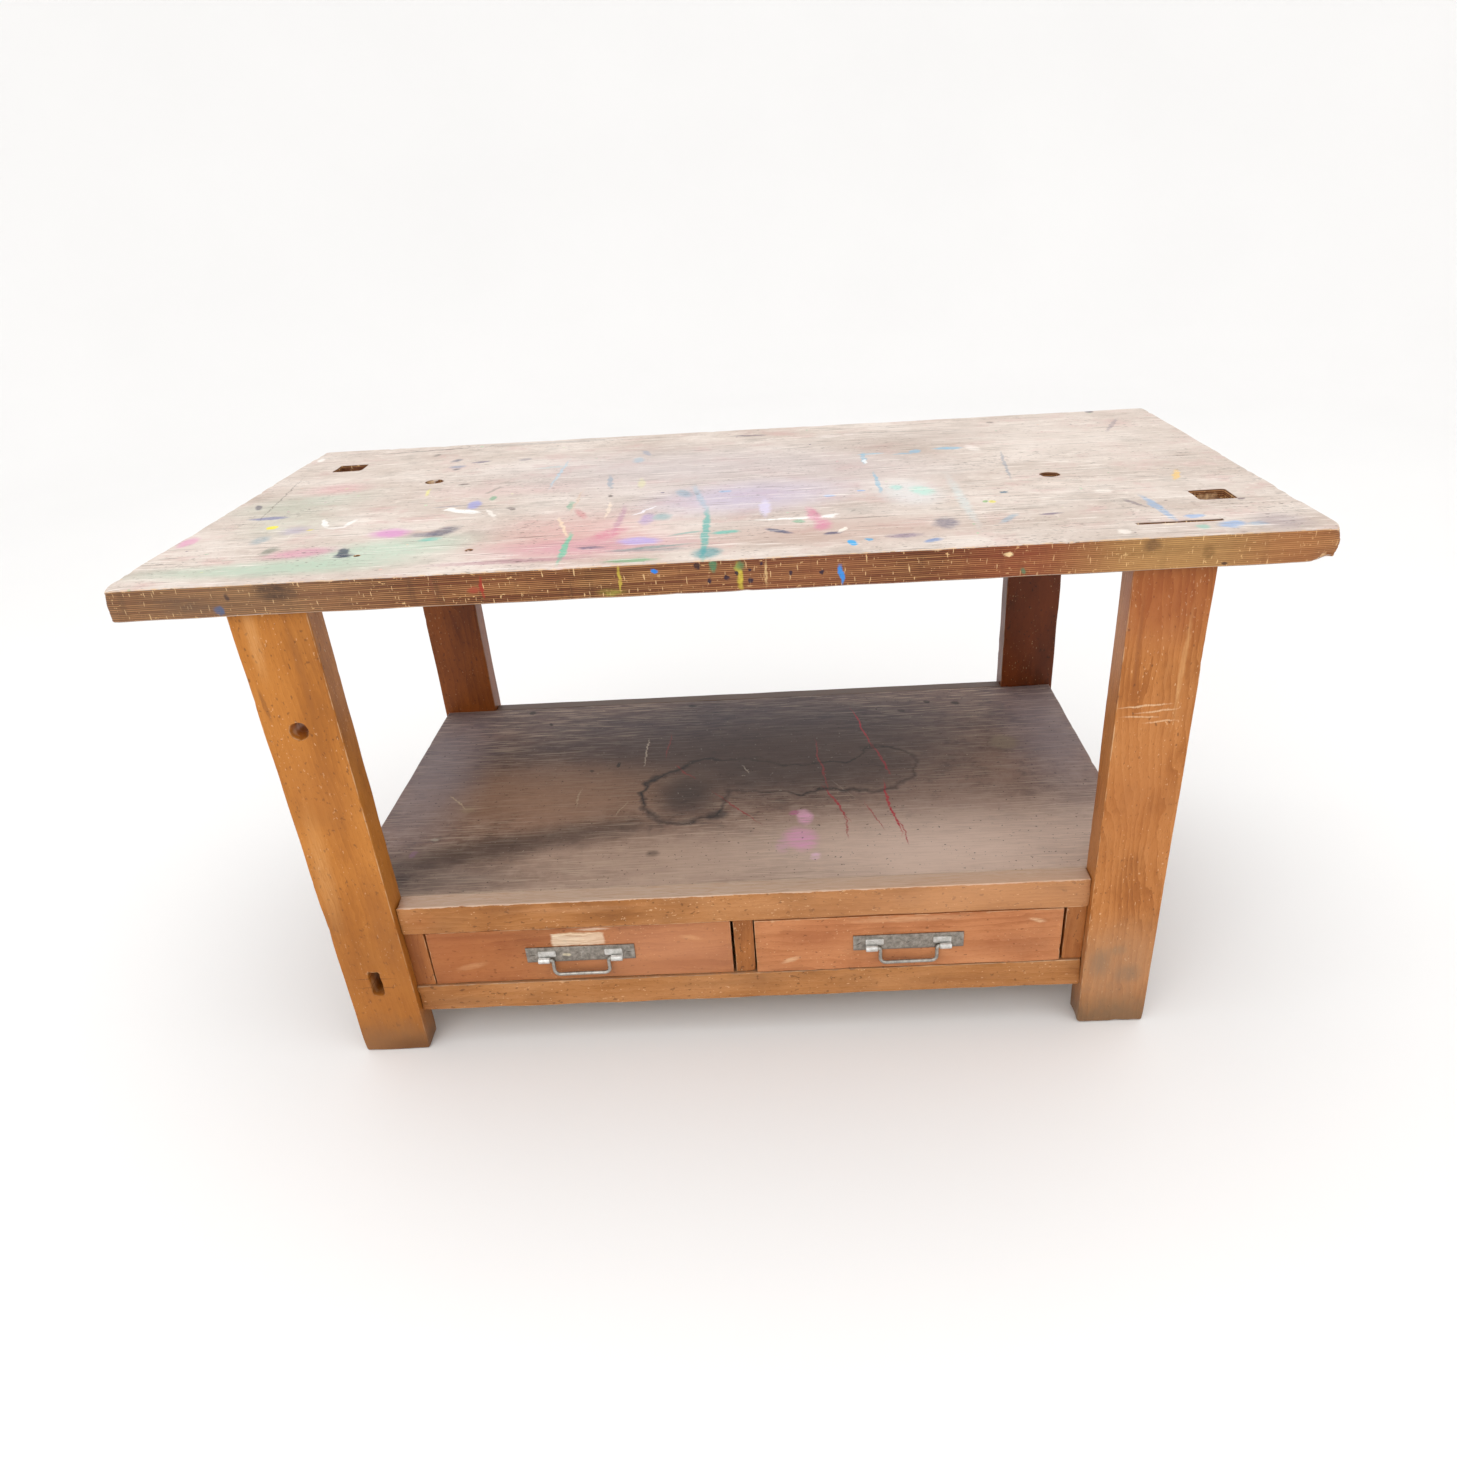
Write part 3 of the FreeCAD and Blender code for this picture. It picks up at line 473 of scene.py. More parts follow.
def lay_marks(graph: Graph, colour: Socket, marks: tuple[Mark, ...], place: Socket,
              scuff: Socket) -> Socket:
    """Lays marks over a colour, one after another.

    A mark's own coordinates are the warped place less its middle, turned back and divided by its size. Its
    cover fades from 1 to 0 as the length of those coordinates passes 1, less where the surface is scuffed.

    Args:
        graph: The material's nodes.
        colour: The socket with the colour below.
        marks: The marks, lowest first.
        place: The socket with the warped place in metres.
        scuff: The socket with the scuffing, 0 to 1.

    Returns:
        The socket with the new colour.
    """
    endless, batch, hint = 50.0, 8, (1e-9, 1e-9, 1e-9)
    for number, mark in enumerate(marks):
        if number % batch == 0:
            # A billionth of the colour joins the place, so that the renderer works through the marks in
            # batches and doesn't hold all of them at once.
            here = graph.add("VectorMath", {0: colour, 1: hint, 2: place}, operation="MULTIPLY_ADD")
        size = tuple(value * MM if value else endless for value in mark.size)
        own = graph.add(
            "Mapping",
            {"Vector": here, "Location": tuple(value * MM for value in mark.at),
             "Rotation": tuple(np.radians(mark.turn)), "Scale": size},
            vector_type="TEXTURE",
        )
        if mark.edge is Edge.ROUND:
            reach = graph.add("VectorMath", {0: own}, "Value", operation="LENGTH")
        else:
            spread = graph.add("VectorMath", {0: own}, operation="ABSOLUTE")
            axes = graph.add("SeparateXYZ", {0: spread}).node.outputs
            reach = graph.add("Math", {0: axes[0], 1: axes[1]}, operation="MAXIMUM")
            reach = graph.add("Math", {0: reach, 1: axes[2]}, operation="MAXIMUM")
        cover = graph.add(
            "MapRange",
            {"Value": reach, "From Min": 1.0 + mark.soft / 2, "From Max": 1.0 - mark.soft / 2,
             "To Min": 0.0, "To Max": mark.strength},
            interpolation_type="SMOOTHSTEP",
        )
        lost = graph.add("Math", {0: cover, 1: scuff}, operation="MULTIPLY")
        cover = graph.add("Math", {0: lost, 1: -mark.worn, 2: cover}, operation="MULTIPLY_ADD",
                          use_clamp=True)
        colour = graph.add("Mix", {0: cover, 6: colour, 7: linear(mark.colour)}, 2, data_type="RGBA")
    return colour


@dataclass(frozen=True)
class Wood:
    """Plank wood with its growth rings, fibres, knocks, grime and old varnish.

    light, middle and dark are the colours of early wood, the board's body and late wood. ring_mm is the
    width of a growth ring where a saw has met it, fleck the cover of pale knocks, grime that of ground-in
    dirt, bare that of wood rubbed bare on the corners, gloss the roughness of what is left of the varnish.
    """

    name: str
    light: str
    middle: str
    dark: str
    grain: Grain = Grain.ALONG_X
    ring_mm: float = 7.0
    ring_share: float = 0.35
    fleck: float = 0.5
    fleck_colour: str = "e2b98c"
    grime: float = 0.4
    grime_colour: str = "4a2a18"
    bare: float = 0.6
    bare_colour: str = "d9b48c"
    gloss: float = 0.42
    varnish: float = 0.06
    seed: float = 0.0
    foot: bool = False
    marks: tuple[Mark, ...] = field(default_factory=tuple)

    def material(self) -> bpy.types.Material:
        """Builds the material.

        Returns:
            A material on Object coordinates and the edge_wear attribute.
        """
        graph = Graph(self.name)
        place = graph.add("TexCoord", {}, "Object")
        laid = graph.add("Mapping", {"Vector": place, "Rotation": self.grain.value,
                                     "Location": (self.seed * 1.7, self.seed * 0.31, self.seed * 0.23)})
        # Slow bends of the fibres, about 250 mm long and 40 mm wide, shift the rings sideways.
        bend = graph.noise(laid, (4.0, 22.0, 22.0), 3.0, 0.5, out="Color")
        shift = graph.add("VectorMath", {0: bend, 1: (0.0, 0.035, 0.035)}, operation="MULTIPLY")
        bent = graph.add("VectorMath", {0: laid, 1: shift}, operation="ADD")
        tilt = graph.add("Mapping", {"Vector": bent, "Location": (0.0, 0.07, 0.05),
                                     "Rotation": (0.0, np.radians(2.2), np.radians(1.4))})
        # A ring wave repeats every 0.314 m at scale 1.
        rings = graph.add("TexWave", {"Vector": tilt, "Scale": 0.314 / (self.ring_mm * MM),
                                      "Distortion": 1.2, "Detail": 2.0, "Detail Scale": 1.5},
                          wave_type="RINGS", rings_direction="X", wave_profile="SAW")
        # Fibres 1.2 mm wide and some 60 mm long.
        fibre = graph.noise(bent, (16.0, 800.0, 800.0), 3.0, 0.6)
        cloud = graph.add("Mapping", {"Vector": laid, "Scale": (6.0, 16.0, 16.0)})
        patch = graph.noise(cloud, 1.0, 4.0, 0.55)
        tone = graph.add("Math", {0: rings, 1: self.ring_share}, operation="MULTIPLY")
        tone = graph.add("Math", {0: fibre, 1: 0.32, 2: tone}, operation="MULTIPLY_ADD")
        tone = graph.add("Math", {0: patch, 1: 1.1, 2: tone}, operation="MULTIPLY_ADD")
        low = 0.48 + self.ring_share * 0.2
        late = graph.add("MapRange", {"Value": tone, "From Min": low,
                                      "From Max": low + 0.36 + self.ring_share * 0.5})
        early = graph.add("MapRange", {"Value": tone, "From Min": low + 0.3,
                                       "From Max": low + 0.8 + self.ring_share * 0.5})
        colour = graph.add("Mix", {0: late, 6: linear(self.light), 7: linear(self.middle)}, 2,
                           data_type="RGBA")
        colour = graph.add("Mix", {0: early, 6: colour, 7: linear(self.dark)}, 2, data_type="RGBA")

        # Pores filled with dirt: dark dashes 8 mm long and half a millimetre wide.
        pore = graph.noise(laid, (110.0, 1300.0, 1300.0), 1.0, 0.5)
        colour = graph.lay(colour, self.dark, pore, 0.60, 0.72, 0.4)
        # Dirt rubbed into the surface in clouds some 80 mm across, and small dark specks.
        dirt = graph.noise(laid, (9.0, 14.0, 14.0), 6.0, 0.62, at=(3.1, 1.7, 0.4))
        dirt = graph.add("MapRange", {"Value": dirt, "From Min": 0.5, "From Max": 0.78,
                                      "To Max": self.grime})
        colour = graph.add("Mix", {0: dirt, 6: colour, 7: linear(self.grime_colour)}, 2, data_type="RGBA")
        speck = graph.noise(laid, (120.0, 190.0, 190.0), 1.5, 0.5)
        colour = graph.lay(colour, self.grime_colour, speck, 0.335, 0.28, 0.35 + self.grime * 0.5)
        # Knocks that went through the varnish leave pale flecks two to five millimetres long.
        nick = graph.noise(laid, (190.0, 360.0, 360.0), 1.0, 0.4, at=(5.0, 2.0, 9.0))
        crowd = graph.noise(cloud, 1.6, 2.0)
        nick = graph.add("Math", {0: crowd, 1: 0.22, 2: nick}, operation="MULTIPLY_ADD")
        nick = graph.add("MapRange", {"Value": nick, "From Min": 0.825, "From Max": 0.88,
                                      "To Max": self.fleck})
        colour = graph.add("Mix", {0: nick, 6: colour, 7: linear(self.fleck_colour)}, 2, data_type="RGBA")
        # Corners rubbed bare, broken up along their length.
        edge = graph.add("Attribute", {}, "Fac", attribute_name="edge_wear")
        rub = graph.noise(laid, (45.0, 90.0, 90.0), 3.0)
        rubbed = graph.add("Math", {0: edge, 1: rub}, operation="MULTIPLY")
        colour = graph.lay(colour, self.bare_colour, rubbed, 0.36, 0.52, self.bare)
        # The walls of holes are painted dark: painted shade inside the bores.
        bore_shade = graph.add("Attribute", {}, "Fac", attribute_name="cut_wall")
        bore_shade = graph.add("Math", {0: bore_shade, 1: 0.8}, operation="MULTIPLY")
        colour = graph.add("Mix", {0: bore_shade, 6: colour, 7: linear("2c1a10")}, 2, data_type="RGBA")
        if self.foot:
            # The last 70 mm above the floor have gone grey from mopping and scuffing.
            height = graph.add("SeparateXYZ", {0: place}, 2)
            height = graph.add("Math", {0: rub, 1: 0.06, 2: height}, operation="MULTIPLY_ADD")
            colour = graph.lay(colour, "6b5640", height, 0.11, 0.045, 0.7)
        if self.marks:
            warped = graph.push(place, place, 55.0, 3.0, 0.6, 6 * MM)
            scuff = graph.add("MapRange", {"Value": fibre, "From Min": 0.42, "From Max": 0.62})
            colour = lay_marks(graph, colour, self.marks, warped, scuff)

        rough = graph.add("Math", {0: fibre, 1: 0.16, 2: self.gloss - 0.08}, operation="MULTIPLY_ADD")
        rough = graph.add("Math", {0: dirt, 1: 0.25, 2: rough}, operation="MULTIPLY_ADD")
        rough = graph.add("Math", {0: nick, 1: 0.3, 2: rough}, operation="MULTIPLY_ADD", use_clamp=True)
        relief = graph.add("Math", {0: rings, 1: 0.12, 2: fibre}, operation="MULTIPLY_ADD")
        relief = graph.add("Math", {0: nick, 1: -0.8, 2: relief}, operation="MULTIPLY_ADD")
        relief = graph.add("Math", {0: speck, 1: 0.4, 2: relief}, operation="MULTIPLY_ADD")
        return graph.close(relief, 0.25, 0.5 * MM, {
            "Base Color": colour, "Roughness": rough, "Specular IOR Level": 0.22,
            "Coat Weight": self.varnish, "Coat Roughness": 0.3,
        })


# Stains on the working surface, lowest first: washes that have soaked in, then drips, dabs and scratches.
TOP_MARKS = tuple(top_mark(*row) for row in (
    (-640, 0, 85, 50, 20, "a9b8a4", 0.55, 1.6, 0.3), (-560, -325, 150, 26, 0, "a9c4ae", 0.75, 1.4, 0.4),
    (-440, -270, 110, 45, 12, "b0cbb5", 0.75, 1.4, 0.4), (-620, -110, 60, 60, 0, "b9c4b0", 0.4, 1.6, 0.3),
    (-190, -250, 100, 95, -20, "cf8f8c", 0.6, 1.6, 0.4), (-150, -300, 120, 34, 0, "c98a9a", 0.65, 1.3, 0.4),
    (-330, 20, 110, 30, 0, "d3aaa6", 0.4, 1.6, 0.3), (-545, -262, 42, 20, 10, "d58ba6", 0.75, 1.2, 0.4),
    (-620, 85, 42, 30, 0, "d49c9f", 0.6, 1.5, 0.3), (40, -90, 120, 70, 10, "b9aecb", 0.65, 1.5, 0.3),
    (-100, 120, 240, 120, 0, "bdb2b4", 0.5, 1.7, 0.2), (180, 40, 150, 100, 0, "b8a8a6", 0.45, 1.7, 0.2),
    (150, -290, 150, 50, 0, "b58e80", 0.5, 1.5, 0.3), (300, 230, 160, 60, 0, "b0a096", 0.45, 1.7, 0.2),
    (560, 180, 150, 180, 0, "dccfc4", 0.35, 1.7, 0.2), (268, -120, 40, 62, 8, "d9d8d6", 0.85, 1.1, 0.4),
    (286, -112, 14, 24, 15, "a9d8c8", 0.8, 1.0, 0.5), (252, -88, 8, 14, 0, "a3d3c8", 0.8, 1.0, 0.5),
    (333, -170, 7, 110, 0, "c5d4d4", 0.55, 1.2, 0.6), (-450, -190, 26, 20, -15, "cf86bd", 0.9, 1.0, 0.3),
    (-376, -196, 15, 26, -25, "39415c", 0.85, 0.9, 0.6), (-398, -206, 20, 10, 0, "5b5f78", 0.6, 1.1, 0.5),
    (-384, -230, 15, 7, 10, "58b8a8", 0.8, 0.8, 0.5), (-366, -58, 9, 24, 5, "8f93cf", 0.85, 0.8, 0.4),
    (-372, -94, 26, 9, -28, "f4f2ee", 1.0, 0.45, 0.35), (-398, -78, 9, 6, 30, "f4f2ee", 0.9, 0.5, 0.4),
    (-400, -62, 24, 4, 5, "78727f", 0.7, 0.8, 0.5), (-666, -76, 27, 8, 0, "6b70a0", 0.85, 0.7, 0.5),
    (-640, -128, 8, 8, 0, "e8dc2e", 1.0, 0.4, 0.1), (-576, -151, 4, 4, 0, "e6d53c", 0.95, 0.5, 0.2),
    (-566, -120, 4, 24, 24, "f1eeea", 0.9, 0.6, 0.5), (-528, -128, 4, 20, -8, "f1eeea", 0.9, 0.6, 0.5),
    (-540, -148, 14, 4, 0, "f1eeea", 0.7, 0.7, 0.5), (-598, -150, 18, 18, 0, "9c8fb4", 0.55, 1.3, 0.5),
    (-630, -190, 10, 18, 0, "7b98a4", 0.6, 1.1, 0.5), (-486, -272, 7, 22, 18, "2f3c50", 0.95, 0.6, 0.3),
    (-482, -284, 13, 8, 0, "2f3c50", 0.9, 0.7, 0.3), (-595, -247, 9, 18, 0, "66705f", 0.75, 0.9, 0.5),
    (-710, -8, 6, 15, 28, "4d4558", 0.85, 0.7, 0.5), (-735, -183, 10, 22, 0, "d98bb4", 0.75, 1.0, 0.4),
    (-471, 250, 8, 12, -20, "586072", 0.8, 0.8, 0.6), (-424, 228, 15, 7, 15, "5c5470", 0.8, 0.8, 0.6),
    (-458, 200, 13, 10, 0, "7c8daa", 0.75, 0.9, 0.6), (-454, 181, 7, 6, 0, "40434e", 0.85, 0.8, 0.5),
    (-347, 229, 10, 9, 20, "7d7484", 0.6, 1.0, 0.6), (-461, 32, 3, 20, 8, "e3dc7c", 0.8, 0.8, 0.5),
    (-415, 73, 7, 6, 0, "6e5f58", 0.8, 0.9, 0.5), (-139, 229, 5, 20, 18, "8b94a8", 0.75, 0.8, 0.5),
    (-147, 178, 9, 18, 0, "9fb4c2", 0.75, 1.0, 0.5), (-268, 110, 2.6, 88, 0, "a9c3d3", 0.8, 0.8, 0.5),
    (-287, 160, 24, 7, 8, "a2b9bd", 0.6, 1.1, 0.6), (-176, 36, 4, 38, 8, "8196a8", 0.75, 0.9, 0.5),
    (-126, 19, 5, 28, 5, "d6d39a", 0.6, 1.0, 0.5), (-218, -92, 4, 22, 5, "6fa486", 0.8, 0.8, 0.5),
    (-346, -26, 4, 12, 10, "5f9c76", 0.8, 0.8, 0.4), (-196, -140, 26, 6, -70, "c5646c", 0.6, 1.0, 0.6),
    (-136, -175, 5, 60, 0, "a1608c", 0.55, 1.2, 0.6), (-210, -205, 3, 48, 16, "ecd3b4", 0.8, 0.7, 0.5),
    (-158, -125, 3, 40, 2, "ecd9c4", 0.75, 0.7, 0.5), (-105, -142, 3, 24, -32, "eeeaf0", 0.85, 0.7, 0.4),
    (-78, -178, 12, 16, 0, "6fa3a8", 0.7, 1.0, 0.5), (-98, -184, 9, 26, 0, "a48bc0", 0.7, 1.0, 0.5),
    (-142, -246, 16, 30, -30, "cc5f84", 0.65, 1.1, 0.6), (-98, -286, 26, 16, -10, "b3a3d6", 0.95, 0.8, 0.3),
    (-158, -304, 16, 6, 0, "46506e", 0.8, 0.9, 0.6), (-80, -316, 46, 5, 8, "5d8f88", 0.75, 0.9, 0.5),
    (-84, -326, 44, 6, -4, "7c8283", 0.7, 1.0, 0.5), (-192, -300, 4.5, 62, 2, "5cba98", 0.9, 0.7, 0.3),
    (-14, -270, 5, 112, 1, "4aa9a0", 0.9, 0.7, 0.4), (-40, -262, 22, 4, 22, "69a79e", 0.75, 0.9, 0.5),
    (-8, -352, 18, 20, 0, "3d8e94", 0.85, 0.8, 0.4), (-102, -366, 30, 7, 0, "57a06a", 0.8, 0.9, 0.4),
    (-56, -58, 10, 22, 20, "7aa0b4", 0.7, 1.0, 0.5), (-30, -90, 5, 70, 10, "8fb3c4", 0.6, 1.0, 0.6),
    (-250, -345, 90, 8, 0, "a3677a", 0.6, 1.1, 0.5), (12, -266, 17, 7, 5, "4fb7a8", 0.85, 0.8, 0.4),
    (6, -60, 9, 6, 0, "7fb0d8", 0.7, 0.8, 0.4), (63, -160, 7, 40, 0, "d3cbe6", 0.85, 0.9, 0.4),
    (104, -220, 52, 4, -2, "f3f0ec", 0.95, 0.5, 0.3), (150, -214, 14, 7, 30, "f3f0ec", 0.85, 0.6, 0.4),
    (128, -206, 8, 34, 8, "cf6d92", 0.75, 1.0, 0.5), (138, -256, 11, 24, -5, "d06f96", 0.75, 1.0, 0.5),
    (108, -234, 7, 8, 0, "4f9e72", 0.85, 0.8, 0.3), (80, -273, 20, 6, -40, "39476a", 0.9, 0.7, 0.4),
    (150, -296, 13, 6, 12, "414566", 0.9, 0.7, 0.4), (163, -284, 4, 12, -25, "f0e6da", 0.9, 0.6, 0.3),
    (295, -276, 15, 24, -6, "5d5c74", 0.75, 0.8, 0.6), (236, -322, 20, 9, 0, "6c5a80", 0.7, 1.0, 0.6),
    (268, -348, 13, 6, 30, "6486b8", 0.85, 0.8, 0.4), (171, -340, 5, 13, 14, "2ea3dc", 1.0, 0.5, 0.1),
    (192, -331, 4, 5, 0, "4aa0cc", 0.9, 0.6, 0.2), (431, -260, 15, 5, 4, "6d5c74", 0.85, 0.7, 0.4),
    (376, -271, 5, 22, -35, "8aa3b4", 0.75, 0.9, 0.4), (396, -144, 6, 5, 0, "3f6d80", 0.95, 0.6, 0.2),
    (371, -189, 5, 7, 0, "e0d64a", 0.9, 0.6, 0.3), (361, -186, 4, 6, 0, "7fae6a", 0.85, 0.7, 0.3),
    (155, -114, 8, 6, 0, "8aaede", 0.9, 0.7, 0.3), (201, -96, 6, 4, 0, "8aaede", 0.85, 0.7, 0.3),
    (361, 143, 23, 9, -4, "84b4cc", 0.9, 0.6, 0.5), (307, 134, 9, 12, 0, "7fb0cc", 0.85, 0.6, 0.5),
    (288, 121, 16, 5, 0, "86b4cc", 0.8, 0.7, 0.5), (236, 132, 19, 6, 3, "86b2c6", 0.8, 0.7, 0.5),
    (221, 106, 4, 36, -3, "86b2c8", 0.8, 0.7, 0.4), (228, -52, 3, 56, 0, "83b1c8", 0.85, 0.7, 0.4),
    (221, 82, 3, 14, 0, "eef0f0", 0.85, 0.6, 0.4), (428, 14, 2.4, 80, -6, "8b929e", 0.75, 0.8, 0.5),
    (400, 136, 9, 22, 12, "ebe0d8", 0.8, 0.9, 0.5), (176, 285, 22, 12, 0, "e4d8d2", 0.7, 1.0, 0.7),
    (214, 290, 12, 8, 0, "e4d8d2", 0.7, 1.0, 0.7), (474, -112, 26, 9, -8, "e3d2c6", 0.7, 1.0, 0.6),
    (527, -163, 13, 9, 0, "ece2d8", 0.9, 0.7, 0.4), (570, -258, 6, 58, 3, "84a8cc", 0.8, 0.7, 0.5),
    (600, -302, 12, 8, 0, "86abd6", 0.85, 0.7, 0.4), (631, -344, 17, 13, 20, "86abd6", 0.85, 0.7, 0.5),
    (594, -348, 8, 10, 0, "84bfae", 0.8, 0.8, 0.5), (662, -346, 12, 9, 0, "90b4cc", 0.75, 0.8, 0.5),
    (690, -340, 30, 30, 0, "a09098", 0.6, 1.4, 0.5), (548, -232, 4, 22, 26, "5e5360", 0.7, 0.8, 0.6),
    (647, -98, 5, 28, -22, "e5bd6e", 0.9, 0.7, 0.3), (658, 254, 4, 50, -24, "8d8088", 0.65, 0.9, 0.5),
    (37, 326, 28, 6, -6, "6a5c68", 0.8, 0.8, 0.5), (650, 373, 6, 8, 0, "58545e", 0.85, 0.7, 0.2),
    (463, 327, 6, 6, 0, "736960", 0.8, 0.8, 0.4), (684, -236, 5, 5, 0, "6a545c", 0.85, 0.7, 0.3),
    (300, 292, 90, 4, -6, "7c7068", 0.55, 1.0, 0.6), (-552, 346, 78, 3, 5, "5a5048", 0.8, 0.6, 0.5),
    (-300, 352, 240, 1.6, 0, "6a5f55", 0.7, 0.6, 0.6), (-330, 362, 120, 5, 0, "8d8a8c", 0.5, 1.0, 0.6),
    (-694, 40, 1.2, 140, 8, "6d6258", 0.65, 0.7, 0.4), (-733, 312, 6, 14, 14, "eeeae4", 0.9, 0.7, 0.3),
    (-520, 302, 7, 9, 0, "6f675f", 0.7, 0.9, 0.4), (-356, 24, 3, 22, -20, "8f857b", 0.7, 0.7, 0.4),
    (-212, -70, 2, 60, 0, "cfae8e", 0.5, 1.0, 0.5), (-164, -49, 4, 5, 0, "5a4c46", 0.85, 0.7, 0.2),
    (-304, -94, 5, 10, 35, "62504a", 0.85, 0.7, 0.3), (-330, -112, 4, 24, 22, "efe8e0", 0.8, 0.7, 0.4),
    (560, -330, 8, 4, 0, "f0e0c8", 0.8, 0.7, 0.4), (500, -352, 7, 10, 0, "efe6dc", 0.8, 0.8, 0.4),
))

# Stains and runs on the front edge of the slab.
EDGE_MARKS = tuple(front_mark(*row) for row in (
    (-600, 762, 190, 60, 0, "8e7356", 0.45, 1.4, 0.2), (390, 762, 90, 60, 0, "94452c", 0.5, 1.5, 0.2),
    (80, 760, 160, 60, 0, "8e5038", 0.35, 1.5, 0.2), (560, 762, 110, 60, 0, "c79c5e", 0.5, 1.5, 0.2),
    (-534, 769, 27, 12, 0, "3d2d26", 0.85, 0.9, 0.5), (-648, 757, 34, 12, 8, "5b4638", 0.65, 1.2, 0.5),
    (-610, 747, 7, 7, 30, "4b5c7c", 0.9, 0.6, 0.4), (-596, 763, 3, 5, 0, "33272c", 0.85, 0.7, 0.3),
    (-282, 760, 2.2, 15, 0, "9c2f22", 0.95, 0.6, 0.3), (-292, 757, 9, 5, 0, "a03c2c", 0.75, 0.8, 0.4),
    (-71, 770, 4.5, 3.5, 0, "2f7ad0", 1.0, 0.4, 0.0), (-114, 762, 2, 18, 0, "c9b544", 0.75, 0.8, 0.5),
    (-125, 746, 16, 4, 0, "a8a248", 0.6, 1.2, 0.6), (-20, 773, 4, 4, 0, "2b1d22", 0.9, 0.5, 0.2),
    (0, 772, 5, 9, 0, "3f7f5c", 0.85, 0.7, 0.3), (31, 758, 4, 18, -8, "cbb93e", 0.85, 0.7, 0.4),
    (32, 771, 6, 6, 0, "4d7f52", 0.75, 0.8, 0.4), (16, 757, 5, 3.6, -20, "2c2030", 0.95, 0.5, 0.1),
    (45, 753, 3.5, 3.4, 0, "2c2030", 0.95, 0.5, 0.1), (44, 766, 2.8, 2.4, 0, "2c2030", 0.95, 0.5, 0.1),
    (57, 773, 2.2, 2.8, 0, "2c2030", 0.95, 0.5, 0.1), (93, 760, 3.2, 3, 0, "2c2030", 0.95, 0.5, 0.1),
    (132, 758, 2.4, 3.4, 0, "2c2030", 0.95, 0.5, 0.1), (27, 762, 2, 4, 0, "2c2030", 0.95, 0.5, 0.1),
    (-5, 754, 2.6, 3.4, 0, "2c2030", 0.95, 0.5, 0.1), (154, 754, 3, 13, -9, "3a86d0", 1.0, 0.5, 0.1),
    (63, 760, 2, 16, 0, "e0be86", 0.7, 0.8, 0.5), (354, 769, 6, 4, 0, "eccf9c", 0.95, 0.6, 0.2),
    (372, 746, 3, 4, 0, "47795a", 0.8, 0.7, 0.3), (524, 770, 12, 8, 0, "5f432c", 0.8, 0.9, 0.5),
    (592, 760, 7, 10, 0, "76552f", 0.7, 0.9, 0.5), (612, 744, 4, 3, 0, "3c2a24", 0.9, 0.6, 0.2),
    (-342, 764, 2, 20, 0, "7d4a34", 0.5, 1.0, 0.4), (700, 760, 60, 60, 0, "a8683c", 0.5, 1.5, 0.2),
))

